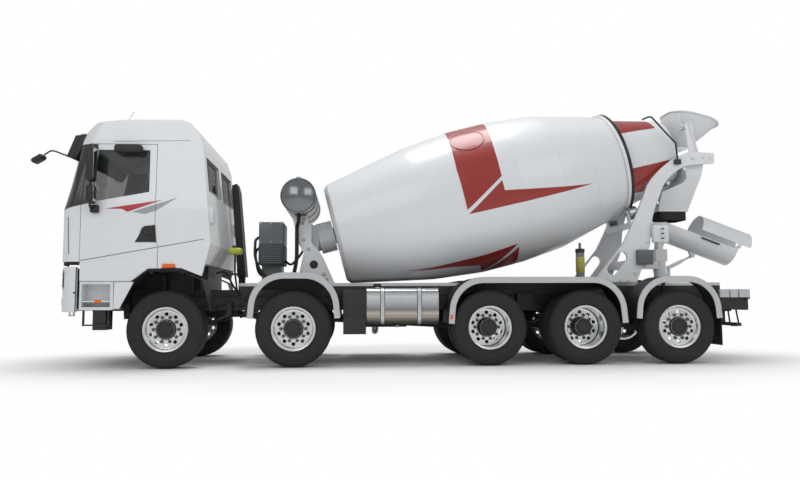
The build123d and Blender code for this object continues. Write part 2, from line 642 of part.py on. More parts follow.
with BuildPart() as collector:
    add(collector_volume(0.0))
    add(collector_volume(COLLECTOR_WALL), mode=Mode.SUBTRACT)
    block((-5000.0, -3500.0), (-700, 700), (COLLECTOR_TOP_Z, 3200.0), mode=Mode.SUBTRACT)
    block((-5000.0, -3500.0), (-700, 700), (2100.0, COLLECTOR_LOW_Z), mode=Mode.SUBTRACT)
    pair_block((-4380.0, -4260.0), (499.0, POST_IN_Y), (2950.0, 3000.0))
finish(collector.part, "discharge_collector")

SKIRT_WALL = 12.0
with BuildPart() as skirt:
    with BuildSketch(Plane.XY.offset(SKIRT_LOW_Z)) as ring:
        with Locations((-4032.0, 0)):
            RectangleRounded(472.0, 478.0, 90.0)
            RectangleRounded(472.0 - 2 * SKIRT_WALL, 478.0 - 2 * SKIRT_WALL, 78.0,
                             mode=Mode.SUBTRACT)
    extrude(ring.sketch, amount=COLLECTOR_LOW_Z - SKIRT_LOW_Z)
finish(skirt.part, "rubber_skirt")

# ---------------------------------------------------------------- chute
SLOPE_COS = cos(radians(CHUTE_SLOPE))
SLOPE_SIN = sin(radians(CHUTE_SLOPE))
# cross plane: local x is Y, local y points down square to the slope, its normal runs down it
CHUTE_CROSS = Plane(origin=(SWIVEL_X, 0, EDGE_Z), x_dir=(0, 1, 0), z_dir=(-SLOPE_COS, 0, -SLOPE_SIN))
CHUTE_SIDE = Plane(origin=(SWIVEL_X, 0, EDGE_Z), x_dir=(-SLOPE_COS, 0, -SLOPE_SIN), z_dir=(0, 1, 0))


def half_pipe(along, outer_r, wall, rise, opens_up):
    """Half-round trough between two places along the slope, its rims at the given rise."""
    with BuildSketch(CHUTE_CROSS.offset(along[0])) as section:
        with Locations((0, -rise)):
            Circle(outer_r)
            Circle(outer_r - wall, mode=Mode.SUBTRACT)
            cut = Align.MAX if opens_up else Align.MIN
            Rectangle(3 * outer_r, 2 * outer_r, align=(Align.CENTER, cut), mode=Mode.SUBTRACT)
    extrude(section.sketch, amount=along[1] - along[0])


def fold_ear(along, rise, y_low, y_high):
    """Hinge ears on both rims, in the plane of the slope: limits along it and above the rims."""
    for y in (y_high, -y_low):
        with BuildSketch(CHUTE_SIDE.offset(y - (y_high - y_low))) as ear:
            with Locations(((along[0] + along[1]) / 2, (rise[0] + rise[1]) / 2)):
                Rectangle(along[1] - along[0], rise[1] - rise[0])
        extrude(ear.sketch, amount=y_high - y_low)


def fold_bar(radius, y_low, y_high, mode=Mode.ADD):
    """Round pins or bores on the fold hinge's axis, one on each side."""
    hinge_x = SWIVEL_X - SLOPE_COS * TROUGH_LOWER - SLOPE_SIN * FOLD_RISE
    hinge_z = EDGE_Z - SLOPE_SIN * TROUGH_LOWER + SLOPE_COS * FOLD_RISE
    bar_y(hinge_x, hinge_z, radius, y_low, y_high, mode=mode)
    bar_y(hinge_x, hinge_z, radius, -y_high, -y_low, mode=mode)


EXT_R = TROUGH_R + EXTENSION_GAP + TROUGH_WALL
EAR_Y = (TROUGH_R - 14.0, TROUGH_R)
EXT_EAR_Y = (EXT_R - TROUGH_WALL, EXT_R + 2.0)
LUG_HALF = 40.0
with BuildPart() as chute:
    prism_y([(SWIVEL_X - 45.0, CHUTE_PIVOT_Z - 40.0), (SWIVEL_X + 45.0, CHUTE_PIVOT_Z - 40.0),
             (SWIVEL_X + 60.0, 1900.0), (SWIVEL_X - 160.0, 1900.0)], -LUG_HALF, LUG_HALF)
    for y in (-25.0, 13.0):
        prism_y([(STRUT_HIGH[0] - 26.0, STRUT_HIGH[1] - 26.0),
                 (STRUT_HIGH[0] + 26.0, STRUT_HIGH[1] - 26.0),
                 (STRUT_HIGH[0] + 70.0, 1700.0), (STRUT_HIGH[0] - 60.0, 1700.0)], y, y + 12.0)
    with BuildSketch(CHUTE_CROSS.offset(TROUGH_UPPER)) as flow:
        Circle(TROUGH_R - TROUGH_WALL / 2)
    extrude(flow.sketch, amount=TROUGH_LOWER - TROUGH_UPPER, mode=Mode.SUBTRACT)
    bar_y(SWIVEL_X, CHUTE_PIVOT_Z, CHUTE_PIVOT_R + RUN_CLEAR, -LUG_HALF, LUG_HALF, mode=Mode.SUBTRACT)
    bar_y(*STRUT_HIGH, STRUT_PIN_R, -25.0, 25.0)
    half_pipe((TROUGH_UPPER, TROUGH_LOWER), TROUGH_R, TROUGH_WALL, 0.0, True)
    block((SWIVEL_X, SWIVEL_X + 400.0), (-300, 300), (TROUGH_TOP_Z, 2300.0), mode=Mode.SUBTRACT)
    fold_ear((TROUGH_LOWER - 60.0, TROUGH_LOWER), (-30.0, FOLD_RISE), *EAR_Y)
    fold_bar(20.0, *EAR_Y)
    fold_bar(FOLD_PIN_R, EAR_Y[0], EXT_EAR_Y[1] + 4.0)
finish(chute.part, "chute")

with BuildPart() as extension:
    half_pipe((TROUGH_LOWER + EXTENSION_WRAP - EXTENSION_LENGTH, TROUGH_LOWER + EXTENSION_WRAP),
              EXT_R, TROUGH_WALL, 2 * FOLD_RISE, False)
    fold_ear((TROUGH_LOWER - 26.0, TROUGH_LOWER + 26.0), (FOLD_RISE, 2 * FOLD_RISE + 20.0),
             *EXT_EAR_Y)
    fold_bar(26.0, *EXT_EAR_Y)
    fold_bar(FOLD_PIN_R + RUN_CLEAR, *EXT_EAR_Y, mode=Mode.SUBTRACT)
finish(extension.part, "chute_extension")

with BuildPart() as turret:
    bar_z(SWIVEL_X, 0, SWIVEL_R, 1240.0, 1530.0)
    bar_z(SWIVEL_X, 0, 88.0, 1240.0, 1320.0 - SEAT_GAP)
    block((SWIVEL_X - 95.0, SWIVEL_X + 95.0), (-95, 95), (1500.0 + SEAT_GAP, 1690.0))
    for y_low, y_high in ((LUG_HALF + 1.0, 66.0), (-66.0, -LUG_HALF - 1.0)):
        block((SWIVEL_X - 45.0, SWIVEL_X + 45.0), (y_low, y_high), (1680.0, CHUTE_PIVOT_Z + 36.0))
    bar_y(SWIVEL_X, CHUTE_PIVOT_Z, CHUTE_PIVOT_R, -66.0, 66.0)
    block((STRUT_LOW[0] - 26.0, SWIVEL_X), (-12, 12), (1240.0, 1310.0))
    block((STRUT_LOW[0] - 26.0, STRUT_LOW[0] + 26.0), (-12, 12), (1240.0, STRUT_LOW[1] + 26.0))
    bar_y(*STRUT_LOW, STRUT_PIN_R, -25.0, 25.0)
finish(turret.part, "chute_turret")

STRUT_SPAN = hypot(STRUT_HIGH[0] - STRUT_LOW[0], STRUT_HIGH[1] - STRUT_LOW[1])
STRUT_DIR = ((STRUT_HIGH[0] - STRUT_LOW[0]) / STRUT_SPAN, 0,
             (STRUT_HIGH[1] - STRUT_LOW[1]) / STRUT_SPAN)
STRUT_CROSS = Plane(origin=(STRUT_LOW[0], 0, STRUT_LOW[1]), x_dir=(0, 1, 0), z_dir=STRUT_DIR)
ROD_R = 16.0


def strut_bar(radius, low, high, mode=Mode.ADD):
    """Round bar or bore along the strut, measured from its lower pin."""
    with BuildSketch(STRUT_CROSS.offset(low)) as disc:
        Circle(radius)
    extrude(disc.sketch, amount=high - low, mode=mode)


with BuildPart() as strut_tube:
    for y in (13.0, -25.0):
        bar_y(*STRUT_LOW, 26.0, y, y + 12.0)
        with BuildSketch(STRUT_CROSS) as cheek:
            with Locations((y + 6.0, 0)):
                Rectangle(12.0, 50.0)
        extrude(cheek.sketch, amount=60.0)
    strut_bar(28.0, 42.0, 250.0)
    strut_bar(ROD_R + RUN_CLEAR, 60.0, 250.0, mode=Mode.SUBTRACT)
    bar_y(*STRUT_LOW, STRUT_PIN_R + RUN_CLEAR, -25.0, 25.0, mode=Mode.SUBTRACT)
finish(strut_tube.part, "strut_tube")

with BuildPart() as strut_rod:
    strut_bar(ROD_R, 150.0, STRUT_SPAN - 56.0)
    bar_y(*STRUT_HIGH, 32.0, -10.0, 10.0)
    with BuildSketch(STRUT_CROSS.offset(STRUT_SPAN - 60.0)) as neck:
        Rectangle(20.0, 40.0)
    extrude(neck.sketch, amount=40.0)
    bar_y(*STRUT_HIGH, STRUT_PIN_R + STRUT_EYE_CLEAR, -10.0, 10.0, mode=Mode.SUBTRACT)
finish(strut_rod.part, "strut_rod")

# ---------------------------------------------------------------- cab
CAB_SIDE = (
    (DOOR_FRONT_X - 8.0, CAB_SKIRT_Z),
    (3950.0, CAB_SKIRT_Z),
    (3729.0, 1338.0),
    (3291.0, 1346.0),
    (3021.0, 1236.0),
    (2906.0, 1683.0),
    (CAB_REAR_X, 3030.0),
    (3101.0, 3222.0),
    (3215.0, 3350.0),
    (3365.0, 3425.0),
    (4074.0, 3402.0),
    (4474.0, 3344.0),
    (4640.0, 3215.0),
    (4715.0, 3050.0),
    (4925.0, 2230.0),
    (4990.0, 2110.0),
    (5034.0, 1775.0),
    (5020.0, CAB_FRONT_Z),
    (DOOR_FRONT_X - 8.0, CAB_FRONT_Z),
)
CAB_SECTIONS = (
    # height, half width, front X on the centre line
    (1100.0, CAB_SIDE_Y, 5034.0),
    (2150.0, CAB_SIDE_Y, 5034.0),
    (3100.0, CAB_SIDE_Y - 50.0, 4775.0),
    (3480.0, CAB_SIDE_Y - 110.0, 4600.0),
)
CORNER_X = 320.0
CORNER_Y = 240.0
FRONT_BOW = 60.0
ROOF_HALF_Y = CAB_SIDE_Y - 50.0
ROOF_TOP_Z = 3425.0
ROOF_ROUND = 170.0


def cab_volume(inset):
    """The cab's outer form, drawn in on every side by the inset."""
    with BuildPart(mode=Mode.PRIVATE) as body:
        for height, half, front in CAB_SECTIONS:
            side_y = half - inset
            start_x = front - CORNER_X
            corner_x = front - FRONT_BOW - inset
            corner_y = half - CORNER_Y
            with BuildSketch(Plane.XY.offset(height)):
                with BuildLine():
                    Polyline((start_x, side_y), (2700.0, side_y), (2700.0, -side_y), (start_x, -side_y))
                    for s in (1, -1):
                        ThreePointArc((start_x, s * side_y),
                                      (corner_x - 0.24 * (corner_x - start_x),
                                       s * (side_y - 0.30 * (side_y - corner_y))),
                                      (corner_x, s * corner_y))
                    ThreePointArc((corner_x, corner_y), (front - inset, 0), (corner_x, -corner_y))
                make_face()
        loft(ruled=True)
        with BuildSketch(side_plane(1500.0)) as side:
            with BuildLine():
                Polyline(*CAB_SIDE, close=True)
            make_face()
            if inset:
                offset(amount=-inset, kind=Kind.INTERSECTION, mode=Mode.REPLACE)
        extrude(side.sketch, amount=3000.0, mode=Mode.INTERSECT)
        with BuildSketch(Plane.YZ) as roof:
            with Locations((0, 2000.0)):
                Rectangle(2800.0, 2200.0)
            with Locations((0, ROOF_TOP_Z - inset - 500.0)):
                RectangleRounded(2 * (ROOF_HALF_Y - inset), 1000.0, ROOF_ROUND)
        extrude(roof.sketch, amount=6000.0, mode=Mode.INTERSECT)
    return body.part


def band(points, y_low, y_high, grow=0.0):
    """Prism of X and Z corners between two stations of Y, as a loose solid."""
    with BuildPart(mode=Mode.PRIVATE) as body:
        with BuildSketch(side_plane(y_high)) as outline:
            with BuildLine():
                Polyline(*points, close=True)
            make_face()
            if grow:
                offset(amount=grow, kind=Kind.INTERSECTION, mode=Mode.REPLACE)
        extrude(outline.sketch, amount=y_high - y_low)
    return body.part


DOOR = (
    (DOOR_FRONT_X, 1100.0),
    (DOOR_REAR_X, 1100.0),
    (DOOR_REAR_X, 1640.0),
    (DOOR_REAR_X + 45.0, 1760.0),
    (DOOR_REAR_X + 45.0, DOOR_TOP_Z),
    (DOOR_FRONT_X - 70.0, DOOR_TOP_Z),
    (DOOR_FRONT_X, 2230.0),
)
WINDOW = ((3744.0, 2958.0), (3738.0, 2378.0), (4505.0, 2234.0), (4440.0, 2958.0))
WINDSCREEN = ((1090.0, 2245.0), (1050.0, 3030.0), (-1050.0, 3030.0), (-1090.0, 2245.0))
REAR_WINDOW = ((150.0, 2440.0), (1000.0, 2440.0), (1000.0, 2880.0), (150.0, 2880.0))


def screen_prism(points, x_low, x_high):
    """Prism of Y and Z corners between two stations of X, as a loose solid."""
    with BuildPart(mode=Mode.PRIVATE) as body:
        with BuildSketch(Plane.YZ.offset(x_low)) as outline:
            with BuildLine():
                Polyline(*points, close=True)
            make_face()
        extrude(outline.sketch, amount=x_high - x_low)
    return body.part


WALL_Y = CAB_SIDE_Y - CAB_WALL
DOOR_WALL = CAB_WALL - 5.0
outer = cab_volume(0.0)
lining = cab_volume(CAB_WALL)
glass_out = cab_volume(24.0)
glass_in = cab_volume(24.0 + GLASS)
windscreen_prism = screen_prism(WINDSCREEN, 4300.0, 5200.0)
rear_prisms = [
    screen_prism(REAR_WINDOW, 2800.0, 3250.0),
    screen_prism([(-y, z) for y, z in REAR_WINDOW], 2800.0, 3250.0),
]


def glass_pane(prism):
    """Pane that follows the cab's surface inside one window's outline."""
    with BuildPart(mode=Mode.PRIVATE) as body:
        add(glass_out)
        add(glass_in, mode=Mode.SUBTRACT)
        add(prism, mode=Mode.INTERSECT)
    return body.part


with BuildPart(mode=Mode.PRIVATE) as door_cut:
    add(outer)
    add(lining, mode=Mode.SUBTRACT)
    add(band(DOOR, 1050.0, 1400.0, SWING_GAP), mode=Mode.INTERSECT)

with BuildPart(mode=Mode.PRIVATE) as floor_slab:
    add(outer)
    block((2800.0, 5200.0), (-WALL_Y, WALL_Y), (CAB_FLOOR_LOW_Z, CAB_FLOOR_LOW_Z + CAB_FLOOR),
          mode=Mode.INTERSECT)

with BuildPart() as cab_shell:
    add(outer)
    add(lining, mode=Mode.SUBTRACT)
    add(door_cut.part, mode=Mode.SUBTRACT)
    add(mirror(door_cut.part, about=Plane.XZ, mode=Mode.PRIVATE), mode=Mode.SUBTRACT)
    block((2800.0, 5200.0), (-WALL_Y, WALL_Y), (1000.0, CAB_FLOOR_LOW_Z), mode=Mode.SUBTRACT)
    add(floor_slab.part)
    add(windscreen_prism, mode=Mode.SUBTRACT)
    for prism in rear_prisms:
        add(prism, mode=Mode.SUBTRACT)
    # two hinge pins, each between a pair of cranked arms that lean back up to the floor
    for y in (CAB_PIVOT_Y, -CAB_PIVOT_Y):
        for arm_y in (y - 50.0, y + 31.0):
            prism_y([(CAB_PIVOT_X - 25.0, CAB_PIVOT_Z - 35.0), (CAB_PIVOT_X + 20.0, CAB_PIVOT_Z - 35.0),
                     (CAB_PIVOT_X + 32.0, CAB_PIVOT_Z), (CAB_PIVOT_X + 10.0, CAB_PIVOT_Z + 28.0),
                     (CAB_PIVOT_X - 180.0, CAB_FLOOR_LOW_Z + CAB_FLOOR),
                     (CAB_PIVOT_X - 270.0, CAB_FLOOR_LOW_Z + CAB_FLOOR)], arm_y, arm_y + 19.0)
        bar_y(CAB_PIVOT_X, CAB_PIVOT_Z, CAB_PIVOT_R, y - 50.0, y + 50.0)
finish(cab_shell.part, "cab_shell")

with BuildPart() as cab_glass:
    add(glass_pane(windscreen_prism))
    for prism in rear_prisms:
        add(glass_pane(prism))
finish(cab_glass.part, "cab_glass")

HANDLE_POCKET = ((3618.0, 1690.0), (3640.0, 1930.0), (3790.0, 1915.0), (3915.0, 1690.0))
window_band = band(WINDOW, 1000.0, 1400.0)
for side, sign in SIDES:
    with BuildPart() as door:
        add(outer)
        add(cab_volume(DOOR_WALL), mode=Mode.SUBTRACT)
        add(band(DOOR, 1050.0, 1400.0), mode=Mode.INTERSECT)
        block((3000.0, 5200.0), (1000.0, CAB_SIDE_Y - DOOR_WALL),
              (1000.0, CAB_FLOOR_LOW_Z + CAB_FLOOR + 10.0), mode=Mode.SUBTRACT)
        add(window_band, mode=Mode.SUBTRACT)
        prism_y(HANDLE_POCKET, CAB_SIDE_Y - 28.0, CAB_SIDE_Y + 20.0, mode=Mode.SUBTRACT)
        if sign < 0:
            mirror(about=Plane.XZ, mode=Mode.REPLACE)
    finish(door.part, f"door_{side}")
    with BuildPart() as pane:
        add(glass_pane(window_band))
        if sign < 0:
            mirror(about=Plane.XZ, mode=Mode.REPLACE)
    finish(pane.part, f"door_glass_{side}")

# ---------------------------------------------------------------- mirrors on the doors
ARM_R = 14.0


def tube_path(points, radius, bend):
    """Round tube along a path of straight runs and tangent arcs."""
    with BuildPart(mode=Mode.PRIVATE) as body:
        with BuildLine() as path:
            FilletPolyline(*points, radius=bend)
        with BuildSketch(Plane(origin=path.line @ 0, z_dir=path.line % 0)):
            Circle(radius)
        sweep()
    return body.part


for side, sign in SIDES:
    with BuildPart() as mirrors:
        block((4400.0, 4500.0), (1300.0, 1500.0), (2490.0, 2960.0))
        block((4400.0, 4500.0), (1300.0, 1470.0), (2190.0, 2440.0))
        block((4380.0, 4490.0), (1228.0, 1330.0), (2080.0, 2190.0))
        add(tube_path([(4460.0, 1210.0, 3000.0), (4460.0, 1390.0, 3010.0), (4460.0, 1390.0, 2080.0),
                       (4460.0, 1230.0, 2120.0)], ARM_R, 40.0))
        block((3822.0, 4199.0), (1215.0, 1340.0), (2895.0, 3020.0))
        block((3960.0, 4060.0), (1150.0, 1230.0), (2965.0, 3010.0))
        add(outer, mode=Mode.SUBTRACT)
        if sign < 0:
            mirror(about=Plane.XZ, mode=Mode.REPLACE)
    finish(mirrors.part, f"mirrors_{side}")

# ---------------------------------------------------------------- sun visor and front mirror
with BuildPart() as visor:
    add(cab_volume(-70.0))
    add(cab_volume(-62.0), mode=Mode.SUBTRACT)
    block((4600.0, 5200.0), (-1045.0, 1045.0), (2870.0, 3180.0), mode=Mode.INTERSECT)
    for y in (-900.0, 0.0, 900.0):
        block((4600.0, 4820.0), (y - 20.0, y + 20.0), (3090.0, 3120.0))
    add(outer, mode=Mode.SUBTRACT)
finish(visor.part, "sun_visor")

MIRROR_Y = 1130.0
with BuildPart() as front_mirror:
    add(tube_path([(4690.0, 1060.0, 2800.0), (4840.0, MIRROR_Y, 2870.0), (5080.0, MIRROR_Y, 2960.0),
                   (5170.0, MIRROR_Y, 2880.0)], 11.0, 40.0))
    prism_y([(5150.0, 2900.0), (5195.0, 2915.0), (5335.0, 2800.0), (FRONT_TIP_X, 2762.0),
             (5310.0, 2748.0), (5165.0, 2820.0)], MIRROR_Y - 95.0, MIRROR_Y + 95.0)
    add(outer, mode=Mode.SUBTRACT)
finish(front_mirror.part, "front_mirror")

# ---------------------------------------------------------------- cab interior
INTERIOR_FLOOR_Z = CAB_FLOOR_LOW_Z + CAB_FLOOR
with BuildPart() as cab_interior:
    prism_y([(4480.0, 1640.0), (4480.0, 2080.0), (4620.0, 2150.0), (4940.0, 2150.0), (4940.0, 1640.0)],
            -1130.0, 1130.0)
    for y in (620.0, -620.0):
        block((3560.0, 4060.0), (y - 250.0, y + 250.0), (INTERIOR_FLOOR_Z, 1960.0))
        prism_y([(3560.0, 1960.0), (3700.0, 1960.0), (3560.0, 2760.0), (3450.0, 2760.0)],
                y - 240.0, y + 240.0)
    block((3000.0, 3430.0), (-1100.0, 1100.0), (INTERIOR_FLOOR_Z, 1980.0))
    with Locations(Location((4330.0, 620.0, 2110.0), (0, 35.0, 0))):
        Torus(220.0, 16.0)
        Box(430.0, 40.0, 16.0)
    add(tube_path([(4330.0, 620.0, 2110.0), (4440.0, 620.0, 1960.0), (4600.0, 620.0, 1740.0)], 30.0, 10.0))
    add(cab_volume(CAB_WALL + SEAT_GAP), mode=Mode.INTERSECT)
finish(cab_interior.part, "cab_interior")

# ---------------------------------------------------------------- bumper and steps
BUMPER_Z = (759.0, 1362.0)
BUMPER_REAR_X = 4650.0
BUMPER_WALL = 40.0
TOW_EYE_X = 4965.0
TOW_EYE_Y = 600.0
TOW_EYE_Z = 730.0


def bumper_plan(inset):
    """Plan of the bumper: bowed front, round corners and short sides."""
    side_y = CAB_SIDE_Y + 5.0 - inset
    front_x = 4970.0 - inset
    front_y = CAB_SIDE_Y - 255.0
    with BuildSketch(Plane.XY.offset(BUMPER_Z[0])) as plan:
        with BuildLine():
            Line((BUMPER_REAR_X, side_y), (BUMPER_REAR_X, -side_y))
            for s in (1, -1):
                ThreePointArc((BUMPER_REAR_X, s * side_y), (4895.0 - inset, s * (side_y - 75.0)),
                              (front_x, s * front_y))
            ThreePointArc((front_x, front_y), (front_x + FRONT_BOW, 0), (front_x, -front_y))
        make_face()
    return plan.sketch


with BuildPart() as bumper:
    extrude(bumper_plan(0.0), amount=BUMPER_Z[1] - BUMPER_Z[0])
    extrude(bumper_plan(BUMPER_WALL), amount=BUMPER_Z[1] - BUMPER_Z[0], mode=Mode.SUBTRACT)
    pair_block((RAIL_FRONT_X, 4990.0), (340.0, 430.0), (820.0, 980.0))
    for y in (-TOW_EYE_Y, TOW_EYE_Y):
        block((4925.0, 5005.0), (y - 20.0, y + 20.0), (690.0, 790.0))
        bar_y(TOW_EYE_X, TOW_EYE_Z, 22.0, y - 20.0, y + 20.0, mode=Mode.SUBTRACT)
finish(bumper.part, "bumper")

STEP_X = (4172.0, 4612.0)
STEP_Y = (820.0, 1240.0)
STEP_Z = (785.0, CAB_SKIRT_Z - SWING_GAP)
with BuildPart() as steps:
    block(STEP_X, STEP_Y, STEP_Z)
    block((STEP_X[0] + 40.0, STEP_X[1] - 30.0), (STEP_Y[1] - 190.0, STEP_Y[1]),
          (STEP_Z[0] + 40.0, STEP_Z[1] - 30.0), mode=Mode.SUBTRACT)
    block((STEP_X[0] + 20.0, STEP_X[1] - 20.0), (STEP_Y[0] + 20.0, STEP_Y[1] - 210.0),
          (STEP_Z[0] + 20.0, STEP_Z[1] - 20.0), mode=Mode.SUBTRACT)
    for x in (4230.0, 4560.0):
        block((x - 10.0, x + 10.0), (1190.0, 1225.0), (574.0, STEP_Z[0]))
    block((4220.0, 4570.0), (1090.0, 1225.0), (574.0, 592.0))
    block((4290.0, 4460.0), (860.0, 1150.0), (516.0, STEP_Z[0]))
    block((4300.0, 4400.0), (RAIL_OUT_Y, STEP_Y[0] + 30.0), (820.0, 900.0))
    mirror(about=Plane.XZ)
finish(steps.part, "cab_steps")

# ---------------------------------------------------------------- mudguards
GUARD_T = 10.0
GUARDS = (
    # path of X and Z, bend radius, inner Y, outer Y, bracket places
    (((4140.0, 820.0), (3990.0, 1130.0), (3740.0, 1306.0), (3290.0, 1306.0), (3010.0, 1180.0),
      (2890.0, 760.0)), 60.0, 860.0, 1225.0, (3300.0, 3700.0)),
    (((2404.0, 665.0), (2350.0, 1277.0), (1210.0, 1277.0), (1155.0, 665.0)), 470.0, 800.0,
     SIDE_Y, (1560.0, 2000.0)),
    (((-338.0, 580.0), (-390.0, 1212.0), (-2806.0, 1212.0), (-2858.0, 580.0)), 470.0, 612.0,
     SIDE_Y, (-900.0, -2280.0)),
    (((-2989.0, 640.0), (-3040.0, 1223.0), (-4170.0, 1223.0), (-4221.0, 640.0)), 470.0, 800.0,
     SIDE_Y, (-3500.0, -3740.0)),
)
with BuildPart() as mudguards:
    for path, bend, y_low, y_high, brackets in GUARDS:
        strip_y(path, bend, GUARD_T, y_low, y_high)
        top_z = path[2][1] - GUARD_T / 2
        for x in brackets:
            block((x - 22.0, x + 22.0), (RAIL_OUT_Y + SEAT_GAP, y_low + 300.0), (top_z - 30.0, top_z))
            block((x - 22.0, x + 22.0), (RAIL_OUT_Y, RAIL_OUT_Y + 30.0), (RAIL_TOP - 60.0, top_z))
    block((-4219.0, -4207.0), (860.0, 1240.0), (255.0, 680.0))
    mirror(about=Plane.XZ)
finish(mudguards.part, "mudguards")

# ---------------------------------------------------------------- tanks and side boxes
TANK_X = (-200.0, 788.0)
TANK_Z = (575.0, 1070.0)
TANK_Y = (640.0, 1200.0)
with BuildPart() as fuel_tank:
    with BuildSketch(Plane.YZ.offset(TANK_X[0])) as section:
        with Locations(((TANK_Y[0] + TANK_Y[1]) / 2, (TANK_Z[0] + TANK_Z[1]) / 2)):
            RectangleRounded(TANK_Y[1] - TANK_Y[0], TANK_Z[1] - TANK_Z[0], 110.0)
    extrude(section.sketch, amount=TANK_X[1] - TANK_X[0])
    for x in (0.0, 590.0):
        block((x - 30.0, x + 30.0), (RAIL_OUT_Y, TANK_Y[0] + 20.0), (600.0, 1000.0))
    bar_z(640.0, 1060.0, 45.0, TANK_Z[1] - 20.0, TANK_Z[1] + 40.0)
finish(fuel_tank.part, "fuel_tank")

with BuildPart() as side_boxes:
    block((799.0, 1112.0), (620.0, 1190.0), (440.0, 1045.0))
    block((900.0, 1000.0), (RAIL_OUT_Y, 640.0), (820.0, 1000.0))
    # exhaust silencer and air tanks on the right
    block((100.0, 1050.0), (-1190.0, -620.0), (470.0, 1080.0))
    for x in (250.0, 900.0):
        block((x - 40.0, x + 40.0), (-640.0, -RAIL_OUT_Y), (820.0, 1000.0))
finish(side_boxes.part, "side_boxes")

# ---------------------------------------------------------------- fittings behind the cab
with BuildPart() as air_intake:
    prism_y([(2684.0, 1282.0), (2721.0, 1683.0), (2811.0, 2667.0), (2845.0, 2787.0), (2920.0, 2760.0),
             (2925.0, 2667.0), (2838.0, 1683.0), (2820.0, 1282.0)], -860.0, -560.0)
    block((2700.0, 2800.0), (-640.0, -RAIL_OUT_Y), (960.0, 1040.0))
    block((2700.0, 2800.0), (-660.0, -590.0), (960.0, 1300.0))
finish(air_intake.part, "air_intake")

COOLER_X = (1997.0, 2340.0)
with BuildPart() as oil_cooler:
    block(COOLER_X, (-80.0, 560.0), (1426.0, 2041.0))
    block((COOLER_X[0] + 30.0, COOLER_X[1] - 30.0), (0.0, 430.0), (DECK_Z, 1427.0))
    block((COOLER_X[0] + 60.0, COOLER_X[1] - 60.0), (360.0, 430.0), (DECK_Z, 1427.0))
finish(oil_cooler.part, "oil_cooler")

WATER_X = 1763.0
WATER_Z = 2402.0
WATER_R = 250.0
WATER_HALF = 820.0
WATER_DISH = 90.0
WATER_SECTION = Plane(origin=(WATER_X, 0, WATER_Z), x_dir=(0, 1, 0), z_dir=(1, 0, 0))
with BuildPart() as water_tank:
    with BuildSketch(WATER_SECTION) as section:
        with BuildLine():
            Line((0.0, 0.0), (WATER_HALF + WATER_DISH, 0.0))
            ThreePointArc((WATER_HALF + WATER_DISH, 0.0), (WATER_HALF + 0.72 * WATER_DISH, WATER_R / 2),
                          (WATER_HALF, WATER_R))
            Polyline((WATER_HALF, WATER_R), (0.0, WATER_R), (0.0, 0.0))
        make_face()
    revolve(section.sketch, axis=Axis((WATER_X, 0, WATER_Z), (0, 1, 0)))
    mirror(about=Plane.XZ)
    block((WATER_X - 80.0, WATER_X + 80.0), (-FRONT_POST_Y - 20.0, FRONT_POST_Y + 20.0),
          (2150.0, 2200.0))
finish(water_tank.part, "water_tank")

# ---------------------------------------------------------------- rear end
TAIL_X = (-4695.0, RAIL_REAR_X)
with BuildPart() as rear_guard:
    block(TAIL_X, (-1150.0, 1150.0), (900.0, 1040.0))
    block((-4690.0, RAIL_REAR_X), (-1100.0, 1100.0), (745.0, 900.0))
    pair_block((-4614.0, -4560.0), (560.0, 600.0), (512.0, 745.0))
    pair_block((-4690.0, -4500.0), (520.0, 640.0), (720.0, 760.0))
    block((-4640.0, -4560.0), (-1000.0, 1000.0), (512.0, 560.0))
    block((-4764.0, -4690.0), (-55.0, 55.0), (805.0, 835.0))
    bar_z(-4726.0, 0.0, 20.0, 805.0, 835.0, mode=Mode.SUBTRACT)
finish(rear_guard.part, "rear_guard")

RAIL_TUBE_R = 13.0
RAIL_TUBE_Y = POST_IN_Y + POST_W + 36.0
with BuildPart() as hand_rail:
    block((-3990.0, -3900.0), (POST_IN_Y + POST_W, RAIL_TUBE_Y + 20.0), (2945.0, 3020.0))
    add(tube_path([(-3944.0, RAIL_TUBE_Y, 3010.0), (-3921.0, RAIL_TUBE_Y, 3269.0),
                   (-3542.0, RAIL_TUBE_Y, 3683.0), (-3410.0, RAIL_TUBE_Y, 3627.0)], RAIL_TUBE_R, 60.0))
    mirror(about=Plane.XZ)
finish(hand_rail.part, "hand_rails")

with BuildPart() as lubricator:
    bar_z(-2374.0, 700.0, 62.0, 1217.3, 1600.0)
    bar_z(-2374.0, 700.0, 20.0, 1600.0, 1737.0)
finish(lubricator.part, "lubricator")
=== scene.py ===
"""Five-axle concrete mixer truck: the looks of every piece, fitted to its CAD frame.  Metres."""
import bmesh
import bpy
from math import ceil, cos, pi, radians, sin
from mathutils import Matrix, Vector
from mathutils.bvhtree import BVHTree


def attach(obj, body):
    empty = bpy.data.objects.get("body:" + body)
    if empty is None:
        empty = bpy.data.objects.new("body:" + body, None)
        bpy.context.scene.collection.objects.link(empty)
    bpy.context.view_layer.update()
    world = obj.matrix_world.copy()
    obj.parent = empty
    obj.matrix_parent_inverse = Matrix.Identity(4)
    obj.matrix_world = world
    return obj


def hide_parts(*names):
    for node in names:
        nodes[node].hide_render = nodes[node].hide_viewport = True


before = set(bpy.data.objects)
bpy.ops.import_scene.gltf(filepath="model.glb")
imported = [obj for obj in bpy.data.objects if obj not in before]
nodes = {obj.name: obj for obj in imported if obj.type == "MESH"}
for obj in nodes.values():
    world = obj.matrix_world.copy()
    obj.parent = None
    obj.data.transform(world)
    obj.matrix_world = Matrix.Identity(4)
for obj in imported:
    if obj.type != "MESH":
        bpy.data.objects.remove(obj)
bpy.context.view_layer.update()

# ---- Studio -------------------------------------------------------------------------------
# A studio's white cyclorama: one pale matt floor that keeps the truck's soft grey shadow
# and fades into plain white.  Three large soft boxes and an even sky give a plain level.


